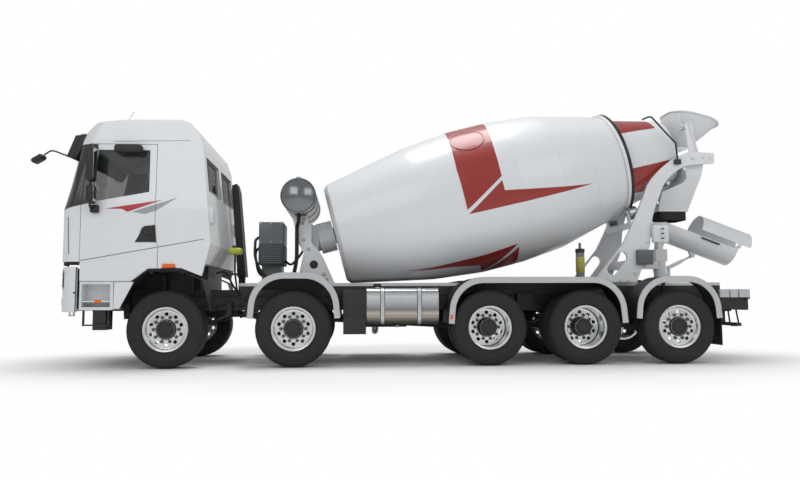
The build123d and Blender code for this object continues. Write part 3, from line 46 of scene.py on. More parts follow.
def linear(colour):
    """sRGB hex, as a paint chart gives it, to the linear values that shaders take."""
    parts = [int(colour[i:i + 2], 16) / 255 for i in (1, 3, 5)]
    return tuple(c / 12.92 if c < 0.04045 else ((c + 0.055) / 1.055) ** 2.4 for c in parts) + (1.0,)


def set_inputs(tree, node, inputs):
    """A node's inputs, each as a number or as a link from another node."""
    for name, value in inputs.items():
        if isinstance(value, bpy.types.NodeSocket):
            tree.links.new(value, node.inputs[name])
        else:
            node.inputs[name].default_value = value


def add_node(tree, kind, inputs=None, **settings):
    """One shader node with its settings and inputs."""
    made = tree.nodes.new(kind)
    for name, value in settings.items():
        setattr(made, name, value)
    set_inputs(tree, made, inputs or {})
    return made


def new_finish(name, inputs=None):
    """A material with its surface shader, and the place on the object that its patterns scale from."""
    material = bpy.data.materials.new(name)
    material.use_nodes = True
    tree = material.node_tree
    tree.nodes.clear()
    surface = add_node(tree, "ShaderNodeBsdfPrincipled", inputs)
    add_node(tree, "ShaderNodeOutputMaterial", {"Surface": surface.outputs[0]})
    return material, tree, surface, add_node(tree, "ShaderNodeTexCoord").outputs["Object"]


def new_piece(name, mesh, material, body):
    """Puts a finished mesh in the scene, in its material, riding on its body."""
    piece = bpy.data.objects.new(name, mesh)
    bpy.context.scene.collection.objects.link(piece)
    mesh.materials.append(material)
    if body:
        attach(piece, body)
    return piece


# Cyclorama paint: matt white emulsion, rolled, faintly mottled.  Away from the truck the floor
# is seen as plain white, so it has no horizon.
cyclorama, tree, surface, place = new_finish("matt_white_emulsion", {"Roughness": 0.95,
                                                                     "Specular IOR Level": 0.0})
mottle = add_node(tree, "ShaderNodeTexNoise", {"Vector": place, "Scale": 0.8})
tone = add_node(tree, "ShaderNodeMix", {0: mottle.outputs[0], 6: linear("#F7F7F7"), 7: linear("#FBFBFB")},
                data_type="RGBA")
flat = add_node(tree, "ShaderNodeMapping", {"Vector": place, "Scale": (0.62, 1.0, 0.0)})
away = add_node(tree, "ShaderNodeVectorMath", {0: flat.outputs[0]}, operation="LENGTH")
fade = add_node(tree, "ShaderNodeMapRange",
                {"Value": away.outputs["Value"], "From Min": 2.6, "From Max": 4.6},
                interpolation_type="SMOOTHSTEP")
path = add_node(tree, "ShaderNodeLightPath")
seen = add_node(tree, "ShaderNodeMath", {0: path.outputs["Is Camera Ray"], 1: fade.outputs[0]},
                operation="MULTIPLY")
glow = add_node(tree, "ShaderNodeEmission", {"Color": linear("#FFFFFF"), "Strength": 1.0})
both = add_node(tree, "ShaderNodeMixShader", {0: seen.outputs[0], 1: surface.outputs[0], 2: glow.outputs[0]})
set_inputs(tree, surface, {"Base Color": tone.outputs[2]})
set_inputs(tree, tree.nodes["Material Output"], {"Surface": both.outputs[0]})
FLOOR_HALF = 60.0
# the floor lies 3 mm under the tyres, so that no faces share a plane
FLOOR_Z = -0.003
floor_mesh = bpy.data.meshes.new("studio_floor")
floor_mesh.from_pydata([(x * FLOOR_HALF, y * FLOOR_HALF, FLOOR_Z)
                        for x, y in ((-1, -1), (1, -1), (1, 1), (-1, 1))],
                       [], [(0, 1, 2, 3)])
floor = new_piece("studio_floor", floor_mesh, cyclorama, None)

world = bpy.data.worlds.new("studio_sky")
bpy.context.scene.world = world
world.use_nodes = True
tree = world.node_tree
tree.nodes.clear()
path = add_node(tree, "ShaderNodeLightPath")
clear = add_node(tree, "ShaderNodeMath", {0: path.outputs["Is Camera Ray"],
                                          1: path.outputs["Is Transmission Ray"]}, operation="MAXIMUM")
sky = add_node(tree, "ShaderNodeBackground", {"Color": linear("#FFFFFF"), "Strength": 0.52})
wall = add_node(tree, "ShaderNodeBackground", {"Color": linear("#FFFFFF"), "Strength": 1.0})
both = add_node(tree, "ShaderNodeMixShader", {0: clear.outputs[0], 1: sky.outputs[0], 2: wall.outputs[0]})
add_node(tree, "ShaderNodeOutputWorld", {"Surface": both.outputs[0]})

for name, hung_at, aim, width, power in (
        # soft box, where it hangs, what it points at, its width, its power in watts
        ("box_front_left", (7.0, 13.0, 9.0), (0.0, 0.0, 1.5), 8.0, 330.0),
        ("box_rear_left", (-9.0, 13.0, 9.0), (-1.0, 0.0, 1.5), 8.0, 300.0),
        ("box_over", (0.0, -1.0, 11.0), (0.0, 0.0, 1.0), 5.0, 520.0)):
    lamp = bpy.data.lights.new(name, "AREA")
    lamp.size = width
    lamp.energy = power
    holder = bpy.data.objects.new(name, lamp)
    bpy.context.scene.collection.objects.link(holder)
    holder.location = hung_at
    holder.rotation_euler = (Vector(aim) - Vector(hung_at)).to_track_quat("-Z", "Y").to_euler()

# The camera stands 11.1 m to the left, level with the wheel tops, and looks slightly up.
lens = bpy.data.cameras.new("studio_camera")
lens.lens = 32.34
lens.sensor_width = 36.0
lens.clip_end = 200.0
camera = bpy.data.objects.new("studio_camera", lens)
bpy.context.scene.collection.objects.link(camera)
yaw, pitch, roll = radians(-4.06), radians(4.727), radians(-0.202)
ahead = Vector((sin(yaw) * cos(pitch), -cos(yaw) * cos(pitch), sin(pitch)))
across = ahead.cross(Vector((0, 0, 1))).normalized()
above = across.cross(ahead)
camera.matrix_world = Matrix.Translation((1.0329, 11.0996, 0.9128)) @ Matrix(
    (across * cos(roll) + above * sin(roll), above * cos(roll) - across * sin(roll), -ahead)
).transposed().to_4x4()
bpy.context.scene.camera = camera
bpy.context.scene.view_settings.view_transform = "Standard"

# ---- Painted steel ------------------------------------------------------------------------
# The cab, drum, posts, hopper and chutes are pressed and rolled steel, sprayed with two-pack
# enamel.  The chassis, axles and springs are sprayed satin black.


def sprayed_enamel(name, colour, dust, roughness, coat, dust_share):
    """Sprayed paint over rounded edges: slight orange peel, a little dust in patches, more low down."""
    material, tree, surface, place = new_finish(name, {"Coat Weight": coat, "Coat Roughness": 0.06})
    patches = add_node(tree, "ShaderNodeTexNoise", {"Vector": place, "Scale": 1.3, "Detail": 6.0,
                                                    "Roughness": 0.6})
    height = add_node(tree, "ShaderNodeSeparateXYZ", {0: place})
    low = add_node(tree, "ShaderNodeMapRange", {"Value": height.outputs["Z"], "From Min": 0.3,
                                                "From Max": 1.6, "To Min": 1.0, "To Max": 0.35})
    dusty = add_node(tree, "ShaderNodeMath", {0: patches.outputs[0], 1: low.outputs[0]},
                     operation="MULTIPLY")
    share = add_node(tree, "ShaderNodeMath", {0: dusty.outputs[0], 1: dust_share}, operation="MULTIPLY")
    tone = add_node(tree, "ShaderNodeMix", {0: share.outputs[0], 6: linear(colour), 7: linear(dust)},
                    data_type="RGBA")
    rough = add_node(tree, "ShaderNodeMapRange", {"Value": share.outputs[0], "To Min": roughness,
                                                  "To Max": min(1.0, roughness + 0.5)})
    # pressed sheet turns its corners on a 6 mm radius
    turned = add_node(tree, "ShaderNodeBevel", {"Radius": 0.006}, samples=4)
    # orange peel is 1 to 2 mm across: drawn at 6 mm so that it shows
    peel = add_node(tree, "ShaderNodeTexNoise", {"Vector": place, "Scale": 160.0})
    bump = add_node(tree, "ShaderNodeBump", {"Height": peel.outputs[0], "Strength": 0.03,
                                             "Distance": 0.002, "Normal": turned.outputs[0]})
    set_inputs(tree, surface, {"Base Color": tone.outputs[2], "Roughness": rough.outputs[0],
                               "Normal": bump.outputs[0]})
    return material


def dress(names, material):
    """A CAD piece whose shape is right keeps it and takes the finish."""
    for name in names:
        slots = nodes[name].data.materials
        slots.clear()
        slots.append(material)


cab_enamel = sprayed_enamel("two_pack_enamel_white", "#E2E5E8", "#B9B4AA", 0.30, 0.6, 0.10)
drum_enamel = sprayed_enamel("drum_enamel_pale_grey", "#DEE1E4", "#A8A49B", 0.34, 0.4, 0.16)
red_enamel = sprayed_enamel("brick_red_enamel", "#95231C", "#6E3630", 0.34, 0.4, 0.14)
signal_red = sprayed_enamel("signal_red_film", "#B01F31", "#8A3A40", 0.30, 0.5, 0.08)
stone_grey = sprayed_enamel("stone_grey_film", "#9B9FA2", "#8A8780", 0.32, 0.5, 0.08)


def two_tone(name, upper, lower, split_z, rough):
    """Enamel of one colour above a level and another below it, with a masked edge between."""
    material = sprayed_enamel(name, upper, "#A8A49B", rough, 0.4, 0.16)
    tree = material.node_tree
    surface = tree.nodes["Principled BSDF"]
    place = add_node(tree, "ShaderNodeTexCoord")
    axes = add_node(tree, "ShaderNodeSeparateXYZ", {0: place.outputs["Object"]})
    low = add_node(tree, "ShaderNodeMath", {0: axes.outputs["Z"], 1: split_z}, operation="LESS_THAN")
    tone = add_node(tree, "ShaderNodeMix", {0: low.outputs[0], 7: linear(lower),
                                            6: surface.inputs["Base Color"].links[0].from_socket},
                    data_type="RGBA")
    set_inputs(tree, surface, {"Base Color": tone.outputs[2]})
    return material


chassis_black = sprayed_enamel("satin_chassis_black", "#18191B", "#514D47", 0.45, 0.1, 0.22)
machine_grey = sprayed_enamel("machine_grey_enamel", "#565E62", "#77726A", 0.42, 0.2, 0.25)
tank_grey = sprayed_enamel("tank_grey_enamel", "#70777B", "#77726A", 0.28, 0.5, 0.2)
dress(("charge_hopper", "discharge_collector", "chute", "chute_extension",
       "chute_turret", "strut_tube", "drum_gearbox"), drum_enamel)
dress(("chassis_frame", "steer_axles", "drive_axles", "suspension", "drive_line", "rear_guard",
       "hand_rails", "engine"), chassis_black)
dress([n for n in nodes if n.startswith("knuckle")], chassis_black)
# the side members are black up to their top flange, and the mixer's own frame on them is grey
dress(("subframe",), two_tone("subframe_enamel_over_black", "#DEE1E4", "#1B1C1E", 1.112, 0.34))
dress(("oil_cooler",), machine_grey)
dress(("lubricator",), tank_grey)

# ---- Moulded plastic and rubber -----------------------------------------------------------
# Mudguards, side boxes, visor, mirrors and the air intake are black polypropylene, moulded
# with a fine pimpled grain that turns grey where it catches the light.


def moulded_black(name, colour, worn, roughness, grain_mm):
    """Moulded plastic or rubber with a sparked-tool grain of the given size, a little chalked."""
    material, tree, surface, place = new_finish(name, {"Roughness": roughness})
    turned = add_node(tree, "ShaderNodeBevel", {"Radius": 0.008}, samples=4)
    grain = add_node(tree, "ShaderNodeTexVoronoi", {"Vector": place, "Scale": 1000.0 / grain_mm})
    bump = add_node(tree, "ShaderNodeBump", {"Height": grain.outputs[0], "Strength": 0.12,
                                             "Distance": 0.001, "Normal": turned.outputs[0]})
    cloud = add_node(tree, "ShaderNodeTexNoise", {"Vector": place, "Scale": 2.0, "Detail": 5.0})
    tone = add_node(tree, "ShaderNodeMix", {0: cloud.outputs[0], 6: linear(colour), 7: linear(worn)},
                    data_type="RGBA")
    set_inputs(tree, surface, {"Base Color": tone.outputs[2], "Normal": bump.outputs[0]})
    return material


black_polypropylene = moulded_black("black_polypropylene", "#121315", "#2C2C2D", 0.5, 4.0)
dress(("mudguards", "side_boxes", "sun_visor", "front_mirror", "air_intake", "cab_interior"),
      black_polypropylene)
skirt_rubber = moulded_black("black_sheet_rubber", "#111111", "#262524", 0.75, 9.0)
dress(("rubber_skirt",), skirt_rubber)

# ---- Bright metal -------------------------------------------------------------------------
# The fuel tank is rolled aluminium sheet and the rims are forged aluminium, both polished;
# rollers and the strut's rod are ground steel; mudguard lips are bright galvanised steel.


def bright_metal(name, colour, roughness, stretch, scale):
    """Bare metal with fine tool or rolling marks that run one way."""
    material, tree, surface, place = new_finish(name, {"Base Color": linear(colour), "Metallic": 1.0})
    drawn = add_node(tree, "ShaderNodeMapping", {"Vector": place, "Scale": stretch})
    marks = add_node(tree, "ShaderNodeTexNoise", {"Vector": drawn.outputs[0], "Scale": scale,
                                                  "Detail": 4.0})
    rough = add_node(tree, "ShaderNodeMapRange", {"Value": marks.outputs[0], "To Min": roughness,
                                                  "To Max": roughness + 0.18})
    turned = add_node(tree, "ShaderNodeBevel", {"Radius": 0.005}, samples=4)
    bump = add_node(tree, "ShaderNodeBump", {"Height": marks.outputs[0], "Strength": 0.04,
                                             "Distance": 0.002, "Normal": turned.outputs[0]})
    set_inputs(tree, surface, {"Roughness": rough.outputs[0], "Normal": bump.outputs[0]})
    return material


# the first, for the fuel tank and the silencer cover, also takes painted reflection bands below
aluminium_with_painted_reflection = bright_metal("polished_aluminium_painted_reflection", "#D2D4D5", 0.16, (2.0, 60.0, 60.0), 6.0)
rim_aluminium = bright_metal("polished_forged_aluminium", "#DADCDD", 0.14, (8.0, 60.0, 8.0), 6.0)
ground_steel = bright_metal("ground_steel", "#B4B6B8", 0.2, (60.0, 4.0, 60.0), 6.0)
galvanised_lip = bright_metal("galvanised_steel_strip", "#C9CCCE", 0.3, (6.0, 6.0, 6.0), 5.0)
stainless_tank = bright_metal("polished_stainless_shell", "#7F8386", 0.12, (40.0, 3.0, 40.0), 6.0)
# painted reflection: bands of sky, horizon and ground are painted into the sheet's colour by height, along
# the tank's section
tree = aluminium_with_painted_reflection.node_tree
place = add_node(tree, "ShaderNodeTexCoord")
axes = add_node(tree, "ShaderNodeSeparateXYZ", {0: place.outputs["Object"]})
up = add_node(tree, "ShaderNodeMapRange", {"Value": axes.outputs["Z"], "From Min": 0.575, "From Max": 1.070})
bands = add_node(tree, "ShaderNodeValToRGB", {"Fac": up.outputs[0]})
for n, (at, colour) in enumerate(((0.0, "#57524D"), (0.16, "#857D75"), (0.30, "#CFC8BE"), (0.40, "#8E8D8E"),
                                  (0.52, "#B4B8BB"), (0.78, "#E8EAEC"), (0.90, "#A5A9AC"), (1.0, "#E2E3E4"))):
    stop = bands.color_ramp.elements[n] if n < 2 else bands.color_ramp.elements.new(at)
    stop.position = at
    stop.color = linear(colour)
set_inputs(tree, tree.nodes["Principled BSDF"], {"Base Color": bands.outputs[0]})
dress(("fuel_tank",), aluminium_with_painted_reflection)
dress(("water_tank",), stainless_tank)
dress(("drum_roller_left", "drum_roller_right", "strut_rod"), ground_steel)

# ---- Glass --------------------------------------------------------------------------------
# Laminated windscreen and toughened side panes: float glass with a dark grey tint, thin enough
# that light passes straight through.
tinted_glass, tree, surface, place = new_finish("tinted_float_glass", {
    "Base Color": linear("#23282A"), "Roughness": 0.03, "IOR": 1.5, "Alpha": 0.42})
waves = add_node(tree, "ShaderNodeTexNoise", {"Vector": place, "Scale": 3.0})
bump = add_node(tree, "ShaderNodeBump", {"Height": waves.outputs[0], "Strength": 0.02, "Distance": 0.01})
set_inputs(tree, surface, {"Normal": bump.outputs[0]})
dress(("cab_glass", "door_glass_left", "door_glass_right"), tinted_glass)

# ---- Wheels -------------------------------------------------------------------------------
# Radial lorry tyres of carbon-black rubber on forged aluminium rims, polished, with ten hand
# holes and ten nuts.  The drive axles carry twins on deep rims; each wheel turns on its hub.
AXLE_X = (3.486, 1.786, -0.914, -2.264, -3.614)
TWIN_AXLES = (3, 4)
TYRE_R = 0.520
TYRE_FACE_Y = 1.250
TWIN_GAP = 0.336
BEAD_R = 0.3025
TREAD_STEPS = 168
SIDES = (("left", 1), ("right", -1))


def smooth_by_angle(mesh, degrees_kept):
    """Rounded shading everywhere but over edges sharper than the given angle."""
    mesh.shade_smooth()
    mesh.set_sharp_from_angle(angle=radians(degrees_kept))
    return mesh


def shaped(name, points, faces, degrees_kept, material, body):
    """A piece from its points and faces."""
    mesh = bpy.data.meshes.new(name)
    mesh.from_pydata(points, [], faces)
    return new_piece(name, smooth_by_angle(mesh, degrees_kept), material, body)


def worked(name, work, degrees_kept, material, body):
    """A piece from a worked mesh, which is then put away."""
    mesh = bpy.data.meshes.new(name)
    work.to_mesh(mesh)
    work.free()
    return new_piece(name, smooth_by_angle(mesh, degrees_kept), material, body)


def turned(name, profile, steps, centre, axis, material, body):
    """Lathe work: (along, radius) points spun round an axis through the centre."""
    axis = Vector(axis).normalized()
    side = axis.orthogonal().normalized()
    other = axis.cross(side)
    count = len(profile)
    points, faces = [], []
    for i in range(steps):
        turn = 2 * pi * i / steps
        out = side * cos(turn) + other * sin(turn)
        points += [Vector(centre) + axis * along + out * radius for along, radius in profile]
        a, b = i * count, (i + 1) % steps * count
        faces += [(a + k, a + k + 1, b + k + 1, b + k) for k in range(count - 1)]
    return shaped(name, points, faces, 34.0, material, body)


tyre_rubber = moulded_black("carbon_black_tyre_rubber", "#19191A", "#2B2B2B", 0.78, 7.0)
dark_steel = bright_metal("phosphated_steel_nuts", "#6A6D70", 0.3, (20.0, 20.0, 20.0), 6.0)
cast_iron_black = sprayed_enamel("black_cast_iron_hub", "#121314", "#46423C", 0.5, 0.1, 0.3)


def tyre(name, centre_x, centre_y, width, body):
    """Tread with four grooves and notched shoulders, and side walls with moulded ribs."""
    half = width / 2
    # the side wall bows on one arc, with two fine ribs moulded on it
    side = [(half - 0.1464 + (0.1473 ** 2 - (r - 0.4079) ** 2) ** 0.5 + rib, r) for r, rib in (
        # radius, height of the skin over the arc
        (0.3045, 0.0015), (0.318, 0.0015), (0.324, 0.0045), (0.331, 0.0045), (0.335, 0.0015),
        (0.360, 0.0015), (0.390, 0.0015), (0.414, 0.0015), (0.417, 0.0035), (0.421, 0.0035),
        (0.424, 0.0015), (0.448, 0.0015), (0.466, 0.0015), (0.470, 0.0045), (0.486, 0.0045),
        (0.503, 0.0020))]
    tread = [(half - 0.045, 0.5125), (half - 0.053, 0.5165)]
    for groove in (0.62, 0.22):
        at = groove * (half - 0.050)
        crown = 0.5205 - 0.005 * groove ** 2
        tread += [(at + 0.008, crown), (at + 0.005, crown - 0.013), (at - 0.005, crown - 0.013),
                  (at - 0.008, crown)]
    right = side + tread
    profile = right + [(-along, radius) for along, radius in reversed(right)]
    notched = {len(side) - 1, len(side), len(side) + 1}
    notched |= {len(profile) - 1 - k for k in notched}
    count = len(profile)
    points, faces = [], []
    for i in range(TREAD_STEPS):
        turn = 2 * pi * i / TREAD_STEPS
        cut = 0.009 if i % 4 == 0 else 0.0
        for k, (along, radius) in enumerate(profile):
            shift = 0.35 * (2 * pi / TREAD_STEPS) * (1 if along > 0 else -1) if k in notched else 0.0
            reach = radius - (cut if k in notched else 0.0)
            points.append((centre_x + reach * cos(turn + shift), centre_y + along,
                           TYRE_R + reach * sin(turn + shift)))
        a, b = i * count, (i + 1) % TREAD_STEPS * count
        faces += [(a + k, a + k + 1, b + k + 1, b + k) for k in range(count - 1)]
    return shaped(name, points, faces, 30.0, tyre_rubber, body)


def bolts(name, spots, outward, stages, material, body):
    """Fasteners facing along Y: at each spot, stages of (sides, radius, low, high) stand on each other."""
    work = bmesh.new()
    for spot in spots:
        for sides, radius, low, high in stages:
            ring = [[work.verts.new(Vector(spot) + Vector((radius * cos(2 * pi * k / sides), outward * level,
                                                           radius * sin(2 * pi * k / sides))))
                     for k in range(sides)] for level in (low, high)]
            for k in range(sides):
                work.faces.new((ring[0][k], ring[0][(k + 1) % sides], ring[1][(k + 1) % sides], ring[1][k]))
            work.faces.new(ring[1])
    bmesh.ops.recalc_face_normals(work, faces=work.faces)
    return worked(name, work, 40.0, material, body)


def nut_ring(name, centre, outward, ring_r, count, across, height, washer, material, body):
    """A ring of hexagon nuts on their washers, with the stud's end standing out of each."""
    spots = [Vector(centre) + Vector((ring_r * cos(2 * pi * n / count), 0, ring_r * sin(2 * pi * n / count)))
             for n in range(count)]
    bolts(name, spots, outward, ((16, washer, 0.0, height * 0.25), (6, across / 1.732, height * 0.25, height),
                                 (10, across * 0.27, height, height * 1.45)), material, body)


def rim_in_tyre(axle, axle_x):
    """Polished aluminium inside the bead's radius and tyre rubber outside it, about one axle."""
    material = bright_metal(f"polished_rim_with_rubber_{axle}", "#DADCDD", 0.14, (8.0, 60.0, 8.0), 6.0)
    tree = material.node_tree
    place = add_node(tree, "ShaderNodeTexCoord")
    about = add_node(tree, "ShaderNodeVectorMath", {0: place.outputs["Object"], 1: (axle_x, 0.0, TYRE_R)},
                     operation="SUBTRACT")
    flat = add_node(tree, "ShaderNodeVectorMath", {0: about.outputs[0], 1: (1.0, 0.0, 1.0)},
                    operation="MULTIPLY")
    reach = add_node(tree, "ShaderNodeVectorMath", {0: flat.outputs[0]}, operation="LENGTH")
    bright = add_node(tree, "ShaderNodeMath", {0: reach.outputs["Value"], 1: BEAD_R}, operation="LESS_THAN")
    tone = add_node(tree, "ShaderNodeMix", {0: bright.outputs[0], 6: linear("#19191A"), 7: linear("#DADCDD")},
                    data_type="RGBA")
    rough = add_node(tree, "ShaderNodeMapRange", {"Value": bright.outputs[0], "To Min": 0.78, "To Max": 0.2})
    set_inputs(tree, tree.nodes["Principled BSDF"], {"Base Color": tone.outputs[2],
                                                     "Metallic": bright.outputs[0],
                                                     "Roughness": rough.outputs[0]})
    return material


for axle, axle_x in enumerate(AXLE_X, start=1):
    twin = axle in TWIN_AXLES
    width = 0.296 if twin else 0.385
    outer_y = TYRE_FACE_Y - width / 2
    face_y = outer_y - TWIN_GAP / 2 + 0.020 if twin else outer_y + 0.096 + 0.011
    hub_y = outer_y - TWIN_GAP / 2 + 0.190 if twin else outer_y + 0.140
    flange = outer_y + width / 2 - 0.042 + 0.0133
    hub = hub_y - face_y
    dress((f"wheel_{axle}_left", f"wheel_{axle}_right"), rim_in_tyre(axle, axle_x))
    for side, sign in SIDES:
        body = f"wheel_{axle}_{side}"
        for n, centre_y in enumerate((outer_y, outer_y - TWIN_GAP) if twin else (outer_y,)):
            tyre(f"tyre_{axle}_{side}_{n}", axle_x, sign * centre_y, width, body)
        for name, steps, material, profile in (
                # the rim's rolled flange and the fillet between its barrel and disc
                ("rim_edge", 72, rim_aluminium, (
                    (flange - 0.012, 0.3005), (flange - 0.003, 0.3015), (flange + 0.002, 0.297),
                    (flange + 0.001, 0.288), (flange - 0.004, 0.281), (flange - 0.016, 0.2735),
                    (face_y + 0.05, 0.2685), (face_y + 0.018, 0.2665), (face_y + 0.005, 0.258),
                    (face_y + 0.0012, 0.244), (face_y + 0.0012, 0.236))),
                # the raised seat of the nuts, inside the hand holes
                ("nut_seat", 72, rim_aluminium, (
                    (face_y, 0.188), (face_y + 0.006, 0.184), (face_y + 0.007, 0.150),
                    (face_y + 0.007, 0.140), (face_y, 0.136))),
                # the cast hub, stepped, with its end cap
                ("hub", 48, cast_iron_black, (
                    (face_y, 0.134), (face_y + 0.006, 0.1335), (face_y + 0.012, 0.1205),
                    (face_y + hub * 0.55, 0.1195), (hub_y - 0.006, 0.1195), (hub_y + 0.002, 0.115),
                    (hub_y + 0.004, 0.088), (hub_y + 0.010, 0.084), (hub_y + 0.013, 0.060),
                    (hub_y + 0.0135, 0.030), (hub_y + 0.0135, 0.0)))):
            turned(f"{name}_{axle}_{side}", profile, steps, (axle_x, 0, TYRE_R), (0, sign, 0), material, body)
        nut_ring(f"wheel_nuts_{axle}_{side}", (axle_x, sign * (face_y + 0.007), TYRE_R), sign, 0.1675, 10,
                 0.032, 0.030, 0.024, dark_steel, body)
        nut_ring(f"hub_bolts_{axle}_{side}", (axle_x, sign * (hub_y + 0.003), TYRE_R), sign, 0.101, 8,
                 0.016, 0.008, 0.011, cast_iron_black, body)

# ---- Drum ---------------------------------------------------------------------------------
# A pear-shaped shell of rolled and welded steel sheet, sprayed pale grey with brick-red
# bands.  Spiral blades are welded inside; it rides on a forged track ring and two rollers.
DRUM_FRONT = Vector((1.248, 0.0, 1.905))
TILT = radians(14.4)
DRUM_AXIS = Vector((-cos(TILT), 0.0, sin(TILT)))
DRUM_UP = Vector((sin(TILT), 0.0, cos(TILT)))
DRUM_OUTLINE = ((0.0, 0.740), (0.060, 0.780), (1.300, 1.040), (2.050, 1.122), (2.750, 1.124),
                (3.400, 1.062), (4.420, 0.806), (4.520, 0.728), (5.390, 0.515))
DRUM_STEPS = 144
DEGREES = 57.3


def drum_radius(along):
    """Outer radius of the drum's shell at a place along its axis."""
    for (a, ra), (b, rb) in zip(DRUM_OUTLINE, DRUM_OUTLINE[1:]):
        if along <= b:
            return ra + (rb - ra) * (along - a) / (b - a)
    return DRUM_OUTLINE[-1][1]


def eased_radius(along):
    """The same radius with each weld between two cones dished over 160 mm."""
    reach = 0.08
    if along < 0.16 or along > 4.2:
        return drum_radius(along)
    return sum(drum_radius(along + reach * k / 4) for k in range(-4, 5)) / 9


def on_drum(along, turn, lift):
    """Point on the drum's skin: along the axis, degrees from the top towards the left, height off it."""
    angle = radians(turn)
    out = DRUM_UP * cos(angle) + Vector((0, 1, 0)) * sin(angle)
    return DRUM_FRONT + DRUM_AXIS * along + out * (eased_radius(along) + lift)


def drum_ring(name, profile, material, steps=DRUM_STEPS):
    """Lathe work about the drum's axis, measured from its front head."""
    return turned(name, profile, steps, DRUM_FRONT, DRUM_AXIS, material, "drum")


shell_profile = [(-0.012, 0.0), (-0.012, 0.120), (0.0, 0.135), (0.0, 0.700), (0.010, 0.728)]
shell_profile += [(0.060 + 0.04 * k, eased_radius(0.060 + 0.04 * k) + 0.0005) for k in range(110)]
shell_profile += [(4.520, 0.7285), (4.700, 0.6845), (5.000, 0.611), (5.300, 0.5375), (5.385, 0.517),
                  (5.392, 0.514), (5.392, 0.508), (5.380, 0.5065), (5.000, 0.599), (4.520, 0.718),
                  (4.420, 0.796), (3.400, 1.050), (2.750, 1.112), (2.050, 1.110), (1.300, 1.028),
                  (0.070, 0.768), (0.010, 0.700), (0.010, 0.0)]
drum_shell = drum_ring("drum_shell", shell_profile, drum_enamel)
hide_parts("drum")
track_ring = drum_ring("track_ring", (
    (4.466, 0.830), (4.466, 0.834), (4.512, 0.834), (4.5195, 0.826), (4.5195, 0.800), (4.490, 0.790),
    (4.488, 0.700)), moulded_black("greased_forged_steel", "#0E0F10", "#232425", 0.38, 12.0))
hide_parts("drum")
drum_ring("track_ring_shoulder", ((4.4205, 0.780), (4.4205, 0.826), (4.428, 0.8335), (4.467, 0.8335),
                                  (4.467, 0.820)), drum_enamel)
drum_ring("drum_trunnion", ((-0.188, 0.0), (-0.188, 0.086), (-0.012, 0.089), (0.0, 0.10)), ground_steel, 48)

# weld seams between the cones: 12 mm beads ground nearly flush, under the paint
for n, along in enumerate((0.62, 1.30, 2.05, 2.75, 3.40, 3.92, 4.86)):
    r = eased_radius(along)
    drum_ring(f"weld_seam_{n}", ((along - 0.006, r - 0.001), (along - 0.003, r + 0.0022),
                                 (along + 0.003, r + 0.0022), (along + 0.006, r - 0.001)), drum_enamel)


def paint_patch(name, corners, lift, sign):
    """A painted field with sharp edges laid on the drum: corners are (along, degrees from the top)."""
    work = bmesh.new()
    work.faces.new([work.verts.new((along, turn / DEGREES, 0)) for along, turn in corners])
    # it is cut into strips 40 mm along and 2.5 degrees round, so that it follows the skin
    for axis, values, step, unit in ((0, [along for along, turn in corners], 0.04, 1.0),
                                     (1, [turn for along, turn in corners], 2.5, DEGREES)):
        low, high = min(values), max(values)
        for k in range(1, ceil((high - low) / step)):
            spot, normal = [0, 0, 0], [0, 0, 0]
            spot[axis], normal[axis] = (low + step * k) / unit, 1
            bmesh.ops.bisect_plane(work, geom=work.verts[:] + work.edges[:] + work.faces[:],
                                   plane_co=spot, plane_no=normal)
    for point in work.verts:
        point.co = on_drum(point.co.x, sign * point.co.y * DEGREES, lift)
    bmesh.ops.recalc_face_normals(work, faces=work.faces)
    worked(name, work, 180.0, red_enamel, "drum")


for name, corners in (
        # red field, its corners along the drum and round it from its top
        ("band_upper", ((2.040, 0.0), (2.640, 0.0), (2.605, 24.0), (2.520, 61.0), (2.4887, 83.0),
                        (1.8930, 101.0), (1.8995, 70.0), (1.990, 24.0))),
        ("arrow_upper", ((2.4790, 86.0), (2.4790, 93.6), (3.8260, 106.4), (1.8995, 104.2))),
        ("arrow_lower", ((0.8830, 149.2), (2.5550, 138.6), (2.060, 166.0), (2.030, 170.0), (1.980, 154.8),
                         (1.574, 150.8))),
        ("band_lower", ((2.5730, 142.3), (2.5730, 180.0), (2.045, 180.0), (2.085, 168.5))),
        ("neck_stripe", ((4.560, 12.0), (5.190, 12.0), (5.200, 50.0), (4.560, 57.5))),
        ("neck_arrow", ((4.560, 104.6), (5.240, 108.6), (5.160, 128.0), (4.840, 146.0), (4.560, 138.0)))):
    for side, sign in SIDES:
        # 3.2 mm off the skin, which clears the weld beads
        paint_patch(f"{name}_{side}", corners, 0.0032, sign)

# round inspection hatch in the upper band: a pressed lid with a raised rim, each side
HATCH_ALONG, HATCH_TURN, HATCH_STEPS = 2.215, 42.0, 64
for side, sign in SIDES:
    work = bmesh.new()
    rings = [[work.verts.new(on_drum(
        HATCH_ALONG + radius * cos(2 * pi * k / HATCH_STEPS),
        sign * (HATCH_TURN + DEGREES * radius * sin(2 * pi * k / HATCH_STEPS) / 1.122), lift))
        for k in range(HATCH_STEPS)]
        for radius, lift in ((0.262, 0.002), (0.262, 0.010), (0.250, 0.012), (0.240, 0.010), (0.236, 0.005))]
    for a, b in zip(rings, rings[1:]):
        for k in range(HATCH_STEPS):
            n = (k + 1) % HATCH_STEPS
            work.faces.new((a[k], a[n], b[n], b[k]))
    bmesh.ops.recalc_face_normals(work, faces=work.faces)
    worked(f"hatch_rim_{side}", work, 40.0, red_enamel, "drum")

